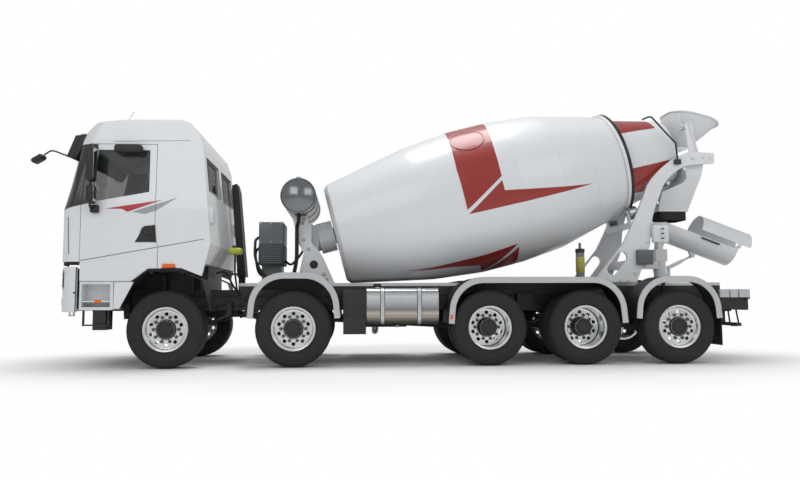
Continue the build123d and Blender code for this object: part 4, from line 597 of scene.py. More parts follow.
# two spiral blades inside the mouth, 8 mm plate, worn bright by the concrete
blade_steel = bright_metal("concrete_worn_steel", "#8B8984", 0.45, (10.0, 10.0, 10.0), 4.0)
BLADE_STEPS = 96
for n in range(2):
    points, faces = [], []
    for k in range(BLADE_STEPS + 1):
        share = k / BLADE_STEPS
        along = 3.55 + 1.80 * share
        turn = radians(360.0 * share * 1.35 + 180.0 * n)
        out = DRUM_UP * cos(turn) + Vector((0, 1, 0)) * sin(turn)
        wall = drum_radius(along) - 0.010
        points += [DRUM_FRONT + DRUM_AXIS * (along - shift) + out * (wall - depth)
                   for depth, shift in ((0.0, 0.0), (0.30, 0.03), (0.30, 0.038), (0.0, 0.008))]
        if k < BLADE_STEPS:
            faces += [(4 * k + e, 4 * k + (e + 1) % 4, 4 * k + 4 + (e + 1) % 4, 4 * k + 4 + e)
                      for e in range(4)]
    shaped(f"spiral_blade_{n}", points, faces, 40.0, blade_steel, "drum")

# ---- Cab ----------------------------------------------------------------------------------
# Pressed and welded steel cab, sprayed white, hinged at its front edge and bolted to the
# frame by two pins.  Trim is bonded on: film flashes, gloss-black screen surround, lamps.


def ramp(value, low, high):
    """0 below low, 1 above high, and a smooth ease between."""
    share = min(1.0, max(0.0, (value - low) / (high - low)))
    return share * share * (3 - 2 * share)


def corner_bow(name, node, material, body):
    """The CAD skin with its front corners swept back by 60 mm, as the real pressing is bowed."""
    mesh = nodes[node].data.copy()
    mesh.name = f"{name}_{node}"
    for point in mesh.vertices:
        point.co.x -= 0.060 * ramp(abs(point.co.y), 0.25, 1.0) * ramp(point.co.x, 4.640, 4.900)
    mesh.materials.clear()
    piece = new_piece(f"{name}_{node}", mesh, material, body)
    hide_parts(node)
    return piece


# Cab enamel: the same white enamel, with the gloss-black field that surrounds the windscreen.
# The field lies over a sill that falls to the front, before a leaning rear edge, under the visor.
SILL_REAR, SILL_FRONT, GLOSS_TOP_Z = (4.505, 2.225), (4.950, 2.115), 3.035
EDGE_LEAN, EDGE_FOOT = -0.0877, (4.505, 2.234)
cab_masked = sprayed_enamel("white_enamel_with_black_surround", "#E2E5E8", "#B9B4AA", 0.30, 0.6, 0.10)
tree = cab_masked.node_tree
surface = tree.nodes["Principled BSDF"]
place = add_node(tree, "ShaderNodeTexCoord")
axes = add_node(tree, "ShaderNodeSeparateXYZ", {0: place.outputs["Object"]})
fall = (SILL_FRONT[1] - SILL_REAR[1]) / (SILL_FRONT[0] - SILL_REAR[0])
sill_start = SILL_REAR[1] - fall * SILL_REAR[0]
sill = add_node(tree, "ShaderNodeMath", {0: axes.outputs["X"], 1: fall, 2: sill_start},
                operation="MULTIPLY_ADD")
over = add_node(tree, "ShaderNodeMath", {0: axes.outputs["Z"], 1: sill.outputs[0]}, operation="GREATER_THAN")
edge_start = EDGE_FOOT[0] - EDGE_LEAN * EDGE_FOOT[1]
lean = add_node(tree, "ShaderNodeMath", {0: axes.outputs["Z"], 1: EDGE_LEAN, 2: edge_start},
                operation="MULTIPLY_ADD")
front = add_node(tree, "ShaderNodeMath", {0: axes.outputs["X"], 1: lean.outputs[0]}, operation="GREATER_THAN")
under = add_node(tree, "ShaderNodeMath", {0: axes.outputs["Z"], 1: GLOSS_TOP_Z}, operation="LESS_THAN")
zone = add_node(tree, "ShaderNodeMath", {0: over.outputs[0], 1: front.outputs[0]}, operation="MULTIPLY")
zone = add_node(tree, "ShaderNodeMath", {0: zone.outputs[0], 1: under.outputs[0]}, operation="MULTIPLY")
enamel = surface.inputs["Base Color"].links[0].from_socket
tone = add_node(tree, "ShaderNodeMix", {0: zone.outputs[0], 6: enamel, 7: linear("#151618")},
                data_type="RGBA")
set_inputs(tree, surface, {"Base Color": tone.outputs[2]})
cab_pressing = corner_bow("skin", "cab_shell", cab_masked, "cab")
cab_panes = corner_bow("pane", "cab_glass", tinted_glass, "cab")
bumper_pressing = corner_bow("skin", "bumper", cab_enamel, "chassis")
dress(("door_left", "door_right"), cab_masked)


def target_of(*objects):
    """Ray-cast tree over several pieces, for laying trim on their skin."""
    points, faces = [], []
    for thing in objects:
        start = len(points)
        points += [point.co.copy() for point in thing.data.vertices]
        faces += [[start + v for v in face.vertices] for face in thing.data.polygons]
    return BVHTree.FromPolygons(points, faces)


cab_skin = target_of(cab_pressing, nodes["door_left"], nodes["door_right"], cab_panes,
                     nodes["door_glass_left"], nodes["door_glass_right"])
bumper_skin = target_of(bumper_pressing)
PLANES = {
    # where a flat outline is laid from: its two axes, where its rays start and which way they go
    "left": (0, 2, Vector((0, 4, 0)), Vector((0, -1, 0))),
    "right": (0, 2, Vector((0, -4, 0)), Vector((0, 1, 0))),
    "front": (1, 2, Vector((8, 0, 0)), Vector((-1, 0, 0))),
    "rear": (1, 2, Vector((0, 0, 0)), Vector((1, 0, 0))),
}
# a ray that misses the skin ends here, at the cab's side
MISSED = 2.76


def laid(name, outline, plane, target, lift, material, body, step=0.08, round_off=0.0):
    """A flat panel cut to an outline, laid on a skin and standing proud of it by the lift."""
    a, b, start, ray = PLANES[plane]
    work = bmesh.new()
    loop = []
    for i, here in enumerate(outline):
        here = Vector(here)
        if round_off:
            before = Vector(outline[i - 1]) - here
            after = Vector(outline[(i + 1) % len(outline)]) - here
            p, q = here + before.normalized() * round_off, here + after.normalized() * round_off
            loop += [p.lerp(here, t).lerp(here.lerp(q, t), t) for t in (0.0, 0.25, 0.5, 0.75, 1.0)]
        else:
            loop.append(here)
    work.faces.new([work.verts.new((p.x, p.y, 0)) for p in loop])
    for axis in (0, 1):
        low, high = min(p[axis] for p in loop), max(p[axis] for p in loop)
        for k in range(1, ceil((high - low) / step)):
            spot, normal = [0, 0, 0], [0, 0, 0]
            spot[axis], normal[axis] = low + step * k, 1
            bmesh.ops.bisect_plane(work, geom=work.verts[:] + work.edges[:] + work.faces[:],
                                   plane_co=spot, plane_no=normal)
    for point in work.verts:
        origin = start.copy()
        origin[a], origin[b] = point.co.x, point.co.y
        point.co = (target.ray_cast(origin, ray)[0] or origin + ray * MISSED) - ray * lift
    rim = [edge for edge in work.edges if edge.is_boundary]
    for point in bmesh.ops.extrude_edge_only(work, edges=rim)["geom"]:
        if isinstance(point, bmesh.types.BMVert):
            point.co += ray * (lift + 0.001)
    bmesh.ops.recalc_face_normals(work, faces=work.faces)
    if max(face.normal.dot(ray) for face in work.faces) > 0.5:
        bmesh.ops.reverse_faces(work, faces=work.faces)
    return worked(name, work, 35.0, material, body)


def both_sides(name, outline, target, lift, material, body, **more):
    """The same panel on the left and on the right; a body named door_ takes its side's name."""
    for side, sign in SIDES:
        rides = body + side if body.endswith("_") else body
        laid(f"{name}_{side}", outline, side, target, lift, material, rides, **more)


def oblong(across_low, across_high, low, high, sign=1):
    """A rectangle's corners on a front or rear plane, mirrored where the sign says so."""
    ys = sorted((sign * across_low, sign * across_high))
    return (ys[0], low), (ys[1], low), (ys[1], high), (ys[0], high)


def rounded_box(name, low, high, radius, material, body, sign=1, segments=3):
    """A moulded or folded box with its edges rounded, given for the left and mirrored by the sign."""
    ys = sorted((sign * low[1], sign * high[1]))
    low, high = Vector((low[0], ys[0], low[2])), Vector((high[0], ys[1], high[2]))
    work = bmesh.new()
    bmesh.ops.create_cube(work, size=1.0)
    for point in work.verts:
        point.co = Vector([low[k] + (high[k] - low[k]) * (point.co[k] + 0.5) for k in range(3)])
    if radius:
        bmesh.ops.bevel(work, geom=work.edges[:] + work.verts[:], offset=radius, segments=segments,
                        profile=0.5, affect="EDGES")
    return worked(name, work, 50.0, material, body)


def box_pairs(*rows):
    """A box on each side from every row: name, corners on the left side, edge radius, finish, body."""
    for name, low, high, radius, material, body in rows:
        for side, sign in SIDES:
            rounded_box(f"{name}_{side}", low, high, radius, material, body, sign)


def pipe(name, points, radius, material, body, sides=12, bend=0.03, sign=1):
    """Tube or hose along a path whose corners are bent on a radius, mirrored where the sign says so."""
    points = [Vector((x, sign * y, z)) for x, y, z in points]
    line = []
    for i, here in enumerate(points):
        if i in (0, len(points) - 1) or not bend:
            line.append(here)
            continue
        back, on = points[i - 1] - here, points[i + 1] - here
        reach = min(bend, back.length * 0.45, on.length * 0.45)
        p, q = here + back.normalized() * reach, here + on.normalized() * reach
        line += [p.lerp(here, t).lerp(here.lerp(q, t), t) for t in (0.0, 0.2, 0.4, 0.6, 0.8, 1.0)]
    spots, faces = [], []
    across = (line[1] - line[0]).orthogonal().normalized()
    for i, here in enumerate(line):
        way = (line[min(i + 1, len(line) - 1)] - line[max(i - 1, 0)]).normalized()
        across = (across - way * across.dot(way)).normalized()
        other = way.cross(across)
        for k in range(sides):
            turn = 2 * pi * k / sides
            spots.append(here + (across * cos(turn) + other * sin(turn)) * radius)
    for i in range(len(line) - 1):
        a, b = i * sides, (i + 1) * sides
        faces += [(a + k, a + (k + 1) % sides, b + (k + 1) % sides, b + k) for k in range(sides)]
    faces += [tuple(reversed(range(sides))), tuple(range(len(spots) - sides, len(spots)))]
    return shaped(name, spots, faces, 50.0, material, body)


def plate(name, outline, y_low, y_high, material, body):
    """Flat sheet cut to an outline of X and Z, standing along the truck, on each side of it."""
    count = len(outline)
    for side, sign in SIDES:
        points = [(x, sign * y, z) for y in (y_low, y_high) for x, z in outline]
        faces = [tuple(range(count)), tuple(reversed(range(count, 2 * count)))]
        faces += [(k, k + count, (k + 1) % count + count, (k + 1) % count) for k in range(count)]
        mesh = bpy.data.meshes.new(f"{name}_{side}")
        mesh.from_pydata(points, [], faces)
        mesh.update()
        new_piece(f"{name}_{side}", mesh, material, body)


# film flashes, cut where they cross the door's rear edge; painted shade of the pressed creases as grey
# strips, the long one rising to the rear and one over the door, and a grey strip of painted shade by the
# front corner; the sill press and the recessed handle with its pull flap
# painted shade: this grey stands for the shadow in the pressed creases, by the front corner and in the front
# seam
shadow_grey = sprayed_enamel("painted_groove_shade_grey", "#8E9296", "#77726A", 0.4, 0.3, 0.2)
for name, material, lift, body, round_off, outline in (
        # panel, its finish, how far it stands proud, its body, its corners' radius, its X and Z
        ("red_flash_door", signal_red, 0.0012, "door_", 0.0, (
            (4.311, 2.146), (3.653, 2.253), (3.653, 2.235), (4.015, 2.102), (4.090, 2.142))),
        ("red_flash_cab", signal_red, 0.0012, "cab", 0.0, ((3.643, 2.255), (3.550, 2.270), (3.643, 2.238))),
        ("grey_flash_door", stone_grey, 0.0012, "door_", 0.0, (
            (3.958, 2.102), (3.653, 2.204), (3.653, 2.115), (3.775, 2.078), (3.730, 2.066))),
        ("grey_flash_cab", stone_grey, 0.0012, "cab", 0.0, ((3.643, 2.208), (3.352, 2.305), (3.643, 2.118))),
        ("waist_groove_door", shadow_grey, 0.0015, "door_", 0.0, (
            (4.616, 1.438), (3.615, 1.618), (3.615, 1.632), (4.616, 1.452))),
        ("waist_groove_cab", shadow_grey, 0.0015, "cab", 0.0, (
            (3.597, 1.621), (3.000, 1.728), (3.000, 1.742), (3.597, 1.635))),
        ("roof_groove_shade", shadow_grey, 0.0015, "cab", 0.0, (
            (4.237, 3.074), (3.214, 3.096), (3.214, 3.103), (4.237, 3.081))),
        ("corner_shade_strip", shadow_grey, 0.004, "cab", 0.0, (
            (4.762, 1.535), (4.780, 1.535), (4.806, 2.030), (4.788, 2.030))),
        ("sill_press_door", cab_enamel, 0.006, "door_", 0.02, (
            (4.616, 1.180), (3.960, 1.180), (3.735, 1.352), (3.615, 1.355), (3.615, 1.560), (4.616, 1.405))),
        ("handle_pocket", black_polypropylene, 0.016, "door_", 0.01, (
            (3.626, 1.700), (3.646, 1.922), (3.784, 1.907), (3.812, 1.888), (3.902, 1.700))),
        ("handle_flap", black_polypropylene, 0.024, "door_", 0.02, (
            (3.640, 1.800), (3.655, 1.900), (3.780, 1.888), (3.830, 1.800)))):
    both_sides(name, outline, cab_skin, lift, material, body, round_off=round_off)


def lens_plastic(name, colour, glow_share):
    """Lamp lens of moulded acrylic: a clear skin over a ribbed coloured body."""
    material, tree, surface, place = new_finish(name, {"Emission Strength": glow_share, "Roughness": 0.08})
    ribs = add_node(tree, "ShaderNodeTexWave", {"Vector": place, "Scale": 60.0}, bands_direction="X")
    bump = add_node(tree, "ShaderNodeBump", {"Height": ribs.outputs[1], "Strength": 0.25, "Distance": 0.002})
    # painted shade: the colour, and the glow with it, darkens by a fifth along each rib, as the ribs' shading
    shade = add_node(tree, "ShaderNodeMix", {0: ribs.outputs[1], 6: linear(colour),
                                             7: tuple(c * 0.8 for c in linear(colour)[:3]) + (1.0,)},
                     data_type="RGBA")
    set_inputs(tree, surface, {"Normal": bump.outputs[0], "Base Color": shade.outputs[2],
                               "Emission Color": shade.outputs[2]})
    return material


# each lens glows faintly by its glow share; on the step and side reflectors, which are no lamps, the amber
# glow is painted light
amber_lens = lens_plastic("amber_acrylic_lens", "#E8641A", 0.12)
red_lens = lens_plastic("red_acrylic_lens", "#A8141C", 0.10)
clear_lens = lens_plastic("clear_acrylic_lens", "#C9D0D6", 0.05)
box_pairs(("side_marker", (3.366, 1.238, 1.348), (3.540, 1.256, 1.400), 0.007, amber_lens, "cab"),
          ("visor_lamp", (4.690, 0.83, 3.190), (4.760, 0.97, 3.232), 0.012, clear_lens, "cab"),
          ("step_reflector", (4.330, 1.236, 0.880), (4.412, 1.246, 0.924), 0.003, amber_lens, "chassis"),
          ("step_tread", (4.214, 1.060, 0.890), (4.580, 1.238, 0.908), 0.004, cab_enamel, "chassis"),
          ("step_grip", (4.190, 1.196, 1.128), (4.412, 1.241, 1.156), 0.012, cab_enamel, "chassis"),
          ("lamp_housing", (4.665, 0.60, 0.800), (4.800, 1.185, 1.345), 0.02, black_polypropylene, "chassis"))
for side, y_low in (("left", 1.238), ("right", -1.256)):
    rounded_box(f"marker_base_{side}", (3.360, y_low, 1.343), (3.546, y_low + 0.012, 1.356), 0.003,
                black_polypropylene, "cab")

# front wing's lip ahead of the wheel, a folded white plate behind the steps; visor's end cheeks
plate("wing_lip", ((3.909, 1.158), (4.089, 0.801), (4.169, 0.801), (4.160, 1.158)), 1.228, 1.243, cab_enamel,
      "chassis")
plate("visor_cheek", ((4.640, 3.205), (4.800, 3.185), (4.915, 2.885), (4.790, 2.875), (4.690, 3.040)), 1.028,
      1.044, black_polypropylene, "cab")
pipe("roof_aerial", ((4.560, 0.0, 3.330), (4.480, 0.0, 3.560), (4.330, 0.0, 3.800)), 0.003,
     black_polypropylene, "cab", sides=6)

# steps: white boxes whose hanging lower rungs and bracket are black
dress(("cab_steps",), two_tone("white_step_box_black_rungs", "#DDE0E3", "#1A1B1D", 0.783, 0.34))

# front panel: black grille with slats under a white one, and the screen wipers
laid("grille_field", ((-0.80, 1.56), (0.80, 1.56), (0.86, 1.98), (-0.86, 1.98)), "front", cab_skin, 0.004,
     black_polypropylene, "cab", round_off=0.05)
for n in range(5):
    z = 1.585 + 0.078 * n
    laid(f"grille_slat_{n}", ((-0.77, z), (0.77, z), (0.775, z + 0.040), (-0.775, z + 0.040)), "front",
         cab_skin, 0.020, cab_enamel if n == 4 else black_polypropylene, "cab")
for n, y in enumerate((-0.62, 0.02, 0.60)):
    laid(f"wiper_arm_{n}", ((y, 2.185), (y + 0.018, 2.185), (y + 0.118, 2.330), (y + 0.100, 2.330)), "front",
         cab_skin, 0.016, black_polypropylene, "cab")
    laid(f"wiper_blade_{n}", ((y - 0.22, 2.290), (y + 0.34, 2.345), (y + 0.338, 2.365), (y - 0.222, 2.310)),
         "front", cab_skin, 0.024, black_polypropylene, "cab")
# painted shade: a grey strip for the shadow in the front panel's seam
laid("cab_front_seam_shade", oblong(-1.0, 1.0, 1.476, 1.484), "front", cab_skin, 0.0015, shadow_grey, "cab")

# bumper: headlamps behind clear lenses, fog lamps, lower mesh, blank number plate, sensors
for side, sign in SIDES:
    for name, material, lift, round_off, inner, outer, low, high in (
            # lamp, finish, lift, corners' radius, across from Y to Y and up from Z to Z
            (f"headlamp_bezel_{side}", black_polypropylene, 0.004, 0.05, 0.72, 1.16, 1.06, 1.325),
            (f"headlamp_{side}_0", clear_lens, 0.012, 0.04, 0.75, 0.93, 1.10, 1.29),
            (f"headlamp_{side}_1", clear_lens, 0.012, 0.04, 0.96, 1.12, 1.10, 1.29),
            (f"fog_lamp_{side}", clear_lens, 0.008, 0.03, 0.76, 1.08, 0.85, 0.95)):
        laid(name, oblong(inner, outer, low, high, sign), "front", bumper_skin, lift, material, "chassis",
             round_off=round_off)
laid("bumper_mesh", oblong(-0.60, 0.60, 1.08, 1.30), "front", bumper_skin, 0.004, black_polypropylene,
     "chassis", round_off=0.03)
laid("number_plate", oblong(-0.26, 0.26, 0.85, 0.96), "front", bumper_skin, 0.006, cab_enamel, "chassis",
     round_off=0.008)
both_sides("bumper_sensor", oblong(4.664, 4.690, 1.003, 1.029), bumper_skin, 0.003, black_polypropylene,
           "chassis", round_off=0.012)
both_sides("bumper_edge", oblong(4.652, 4.664, 0.765, 1.355), bumper_skin, 0.002, black_polypropylene,
           "chassis")

# a black band in sheet rubber under the cab's front corners fills the gap above the bumper: painted shade for
# the shadow in that gap
for side, sign in SIDES:
    line = []
    for y in (0.72, 0.82, 0.92, 1.00, 1.06, 1.11, 1.15):
        hit = cab_skin.ray_cast(Vector((8.0, sign * y, 1.450)), Vector((-1, 0, 0)))[0]
        line.append((hit.x - 0.016, hit.y))
    line += [(4.800, sign * 1.205), (4.740, sign * 1.222), (4.632, sign * 1.226)]
    count = len(line)
    shaped(f"corner_gap_shade_{side}", [(x, y, z) for z in (1.384, 1.440) for x, y in line],
           [(k, k + 1, k + 1 + count, k + count) for k in range(count - 1)], 50.0, skirt_rubber, "cab")

# ---- Mirrors ------------------------------------------------------------------------------
# Moulded black housings with glass facing the rear, on a bent steel tube off each door.
mirror_glass = bright_metal("silvered_mirror_glass", "#C4CCD0", 0.02, (1.0, 1.0, 1.0), 1.0)
for side, sign in SIDES:
    body = f"door_{side}"
    for name, low, high, radius in (
            # housing, its corners on the left side, its edge radius
            ("mirror_main", (4.402, 1.302, 2.492), (4.498, 1.498, 2.958), 0.034),
            ("mirror_wide", (4.402, 1.302, 2.192), (4.498, 1.468, 2.438), 0.034),
            ("mirror_foot", (4.382, 1.232, 2.082), (4.488, 1.328, 2.188), 0.022),
            ("mirror_kerb", (3.824, 1.217, 2.897), (4.197, 1.338, 3.018), 0.045)):
        housing = rounded_box(f"{name}_{side}", low, high, radius, black_polypropylene, body, sign,
                              segments=4)
        if name in ("mirror_main", "mirror_wide"):
            rounded_box(f"{name}_glass_{side}", (low[0] - 0.0015, low[1] + 0.024, low[2] + 0.03),
                        (low[0] + 0.006, high[1] - 0.024, high[2] - 0.03), 0.002, mirror_glass, body, sign)
    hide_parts(f"mirrors_{side}")
    pipe(f"mirror_tube_{side}", ((4.450, 1.196, 2.995), (4.460, 1.345, 3.005), (4.460, 1.400, 2.940),
                                 (4.460, 1.400, 2.150), (4.460, 1.250, 2.120)), 0.014,
         black_polypropylene, body, bend=0.05, sign=sign)
    pipe(f"kerb_arm_{side}", ((4.010, 1.175, 2.990), (4.010, 1.250, 2.975)), 0.016, black_polypropylene, body,
         sign=sign)
pipe("front_mirror_arm", ((4.690, 1.060, 2.800), (4.840, 1.130, 2.870), (5.080, 1.130, 2.960),
                          (5.175, 1.130, 2.890)), 0.011, black_polypropylene, "cab", bend=0.06)
bowl = rounded_box("front_mirror_bowl", (-0.085, -0.088, -0.036), (0.085, 0.088, 0.036), 0.034,
                   black_polypropylene, "cab", segments=4)
for point in bowl.data.vertices:
    point.co = Matrix.Rotation(radians(32.0), 3, "Y") @ point.co + Vector((5.245, 1.130, 2.832))
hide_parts("front_mirror")

# ---- Cab interior -------------------------------------------------------------------------
# Two foam seats in grey woven cloth, each a pad, a back and a head rest on a moulded shell.
SEAT_Y = 0.62
grey_cloth, tree, surface, place = new_finish("grey_woven_cloth", {"Roughness": 0.95, "Sheen Weight": 0.3})
weave = add_node(tree, "ShaderNodeTexChecker", {"Vector": place, "Scale": 300.0,
                                                "Color1": linear("#3A3D40"), "Color2": linear("#4B4F52")})
set_inputs(tree, surface, {"Base Color": weave.outputs[0]})
for side, sign in SIDES:
    for name, low, high, lean in (
            # pad, its corners about the seat's centre line, its lean in degrees
            ("seat_pad", (3.600, -0.245, 1.955), (4.075, 0.245, 2.060), -4.0),
            ("seat_back", (3.560, -0.235, 2.030), (3.690, 0.235, 2.640), -11.0),
            ("head_rest", (3.480, -0.140, 2.620), (3.580, 0.140, 2.800), -8.0)):
        pad = rounded_box(f"{name}_{side}", low, high, 0.045, grey_cloth, "cab", segments=4)
        pivot = Vector(((low[0] + high[0]) / 2, 0, low[2]))
        for point in pad.data.vertices:
            leant = Matrix.Rotation(radians(lean), 3, "Y") @ (point.co - pivot)
            point.co = leant + pivot + Vector((0, sign * SEAT_Y, 0))

# ---- Cab's rear wall ----------------------------------------------------------------------
# Pressed-rubber gaskets round the two rear windows and a white box on each corner; behind the
# cab the coolant bottle stands on a bent tube.
for side, sign in SIDES:
    for name, inner, outer, low, high in (
            # gasket bar, across from Y to Y and up from Z to Z
            ("sill", 0.135, 1.015, 2.425, 2.440), ("head", 0.135, 1.015, 2.880, 2.895),
            ("inner", 0.135, 0.150, 2.440, 2.880), ("outer", 1.000, 1.015, 2.440, 2.880)):
        laid(f"gasket_{name}_{side}", oblong(inner, outer, low, high, sign), "rear", cab_skin, 0.006,
             skirt_rubber, "cab")
box_pairs(("rear_corner_box", (2.900, 0.98, 1.960), (2.990, 1.17, 2.180), 0.02, cab_enamel, "cab"))
rounded_box("coolant_bottle", (2.560, 0.600, 1.560), (2.755, 0.780, 1.655), 0.035,
            moulded_black("coolant_in_clear_plastic", "#B9C43A", "#8F9A2C", 0.3, 6.0), "chassis")
rounded_box("coolant_bottle_cap", (2.640, 0.660, 1.650), (2.700, 0.720, 1.690), 0.008, black_polypropylene,
            "chassis")
pipe("coolant_stand", ((2.660, 0.690, 1.565), (2.660, 0.690, 1.300), (2.660, 0.450, 1.040)), 0.014,
     chassis_black, "chassis", bend=0.05)

# ---- Mudguards ----------------------------------------------------------------------------
# Moulded black arches whose outer edge carries a bright steel strip, riveted on.
GUARD_BEND, STRIP_DEPTH = 0.470, 0.075
GUARD_PATHS = (
    # path of X and Z over axle 2, over the twin axles and over axle 5
    ((2.404, 0.665), (2.350, 1.277), (1.210, 1.277), (1.155, 0.665)),
    ((-0.338, 0.580), (-0.390, 1.212), (-2.806, 1.212), (-2.858, 0.580)),
    ((-2.989, 0.640), (-3.040, 1.223), (-4.170, 1.223), (-4.221, 0.640)))
STRIP_SECTION = ((0.006, 1.235), (0.008, 1.249), (0.004, 1.256), (-STRIP_DEPTH, 1.256),
                 (-STRIP_DEPTH - 0.004, 1.250), (-STRIP_DEPTH, 1.243))


def bent_line(path, bend, steps=12):
    """A path's corners turned into arcs of the bend radius."""
    path = [Vector(p) for p in path]
    line = [path[0]]
    for before, here, after in zip(path, path[1:], path[2:]):
        back, on = (before - here).normalized(), (after - here).normalized()
        half_angle = back.angle(on) / 2
        reach = bend * cos(half_angle) / sin(half_angle)
        centre = here + (back + on).normalized() * (bend / sin(half_angle))
        first, last = here + back * reach - centre, here + on * reach - centre
        line += [centre + first.slerp(last, k / steps).normalized() * bend for k in range(steps + 1)]
    return line + [path[-1]]


for n, path in enumerate(GUARD_PATHS):
    line = bent_line(path, GUARD_BEND)
    ways = [(line[min(k + 1, len(line) - 1)] - line[max(k - 1, 0)]).normalized() for k in range(len(line))]
    for side, sign in SIDES:
        points = []
        for spot, way in zip(line, ways):
            # every path runs to the rear, so the outer side is on the way's right
            out = Vector((way.y, -way.x))
            points += [((spot + out * lift).x, sign * y, (spot + out * lift).y) for lift, y in STRIP_SECTION]
        faces = [(6 * k + e, 6 * k + e + 1, 6 * k + e + 7, 6 * k + e + 6) for k in range(len(line) - 1)
                 for e in range(5)]
        shaped(f"guard_strip_{n}_{side}", points, faces, 40.0, galvanised_lip, "chassis")

# black splash plates close each arch's inner side above the tyre
for n, (path, inner_y, foot_z) in enumerate((
        # arch, the plate's place across, its lower edge
        (GUARD_PATHS[0], 0.802, 1.062), (GUARD_PATHS[1], 0.614, 1.066))):
    line = [p for p in bent_line(path, GUARD_BEND) if p.y > foot_z]
    line = [Vector((line[0].x, foot_z))] + line + [Vector((line[-1].x, foot_z))]
    plate(f"splash_plate_{n}", [(p.x, p.y - 0.006) for p in line], inner_y, inner_y + 0.006,
          black_polypropylene, "chassis")

# ---- Chassis fittings ---------------------------------------------------------------------
# Rows of bolts in the rails, brake and air lines clipped along them, tank straps and caps.
RAIL_FACE_Y, LINE_Y = 0.430, 0.442


def studs(name, spots, outward, across, height, material):
    """Hexagon bolt heads with washers at many places, facing along Y."""
    bolts(name, spots, outward, ((12, across * 0.75, -0.002, height * 0.25),
                                 (6, across / 1.732, height * 0.25, height)), material, "chassis")


for side, sign in SIDES:
    rows = [(4.50 - 0.17 * k, sign * RAIL_FACE_Y, z) for k in range(53) for z in (0.800, 1.010)]
    rows += [(x + dx, sign * RAIL_FACE_Y, z) for x in (2.56, 1.15, 0.10, -1.589, -2.939, -4.38)
             for dx in (-0.06, 0.0, 0.06) for z in (0.86, 0.91, 0.96)]
    studs(f"rail_bolts_{side}", rows, sign, 0.027, 0.016, chassis_black)
    studs(f"subframe_bolts_{side}", [(2.50 - 0.42 * k, sign * RAIL_FACE_Y, 1.086) for k in range(17)], sign,
          0.027, 0.016, chassis_black)
    studs(f"front_post_bolts_{side}", [(x, sign * 0.405, z) for x, z in (
        (1.36, 1.21), (1.50, 1.21), (1.64, 1.21), (1.72, 1.21), (1.40, 1.29), (1.66, 1.29), (1.63, 1.66),
        (1.70, 1.80), (1.72, 2.05), (1.80, 2.11), (1.70, 2.11))], sign, 0.036, 0.020, ground_steel)
    studs(f"rear_post_bolts_{side}", [(x, sign * 0.604, z) for x, z in (
        (-2.72, 1.19), (-2.84, 1.19), (-3.02, 1.19), (-3.14, 1.19), (-3.24, 1.30), (-3.30, 1.44),
        (-3.36, 1.62), (-3.44, 1.76), (-3.52, 2.05), (-3.62, 2.36), (-3.80, 2.66), (-4.06, 2.88),
        (-4.20, 3.05), (-4.36, 3.06), (-4.48, 3.06))], sign, 0.036, 0.018, drum_enamel)
    for n, z in enumerate((0.835, 0.975)):
        pipe(f"air_line_{side}_{n}", ((4.40, LINE_Y, z), (2.20, LINE_Y, z - 0.01), (0.60, LINE_Y, z),
                                      (-4.30, LINE_Y, z)), 0.009, black_polypropylene, "chassis", sides=8,
             sign=sign)
    pipe(f"lift_hose_{side}", ((2.62, 0.44, 0.98), (2.74, 0.52, 1.16), (2.80, 0.50, 1.34),
                               (2.96, 0.46, 1.30)), 0.016, black_polypropylene, "chassis", sides=8,
         bend=0.08, sign=sign)
    # black disc in the round hole of the front pedestal plate: painted shade for the dark inside of the hole
    turned(f"pedestal_hole_shade_{side}", ((0.372, 0.0615), (0.400, 0.0615), (0.402, 0.056), (0.394, 0.050),
                                     (0.394, 0.0)), 32, (1.554, 0.0, 1.431), (0, sign, 0),
           black_polypropylene, "chassis")

# fuel tank: pressed end rims, two rubber-backed steel straps, filler cap
TANK_Y, TANK_Z = 0.920, 0.8225
TANK_HALF_Y, TANK_HALF_Z, TANK_CORNER = 0.280, 0.2475, 0.110


def corner_loop(half_a, half_b, corner, steps=8):
    """A rounded rectangle's outline about its middle."""
    for turn, a, b in ((0, 1, 1), (90, -1, 1), (180, -1, -1), (270, 1, -1)):
        for k in range(steps + 1):
            angle = radians(turn + 90 * k / steps)
            yield a * (half_a - corner) + corner * cos(angle), b * (half_b - corner) + corner * sin(angle)


for n, (x_low, x_high, grow, material) in enumerate((
        # from X to X, height over the sheet, material
        (0.030, 0.096, 0.003, skirt_rubber), (0.038, 0.088, 0.006, galvanised_lip),
        (0.540, 0.606, 0.003, skirt_rubber), (0.548, 0.598, 0.006, galvanised_lip),
        (-0.203, -0.192, 0.005, aluminium_with_painted_reflection), (0.780, 0.791, 0.005, aluminium_with_painted_reflection),
        (0.300, 0.306, 0.002, aluminium_with_painted_reflection))):
    # a band that follows the tank's rounded section, with its edges turned in by a thirtieth
    loop = list(corner_loop(TANK_HALF_Y + grow, TANK_HALF_Z + grow, TANK_CORNER + grow))
    count = len(loop)
    points = [(x, TANK_Y + a * scale, TANK_Z + b * scale) for scale in (1.0, 0.97) for x in (x_low, x_high)
              for a, b in loop]
    faces = []
    for k in range(count):
        m = (k + 1) % count
        faces += [(k, m, count + m, count + k), (2 * count + k, 2 * count + m, m, k),
                  (count + k, count + m, 3 * count + m, 3 * count + k)]
    shaped(f"tank_band_{n}", points, faces, 30.0, material, "chassis")
turned("tank_cap", ((1.080, 0.050), (1.112, 0.056), (1.128, 0.054), (1.132, 0.045), (1.132, 0.0)), 24,
       (0.640, 1.060, 0.0), (0, 0, 1), black_polypropylene, "chassis")

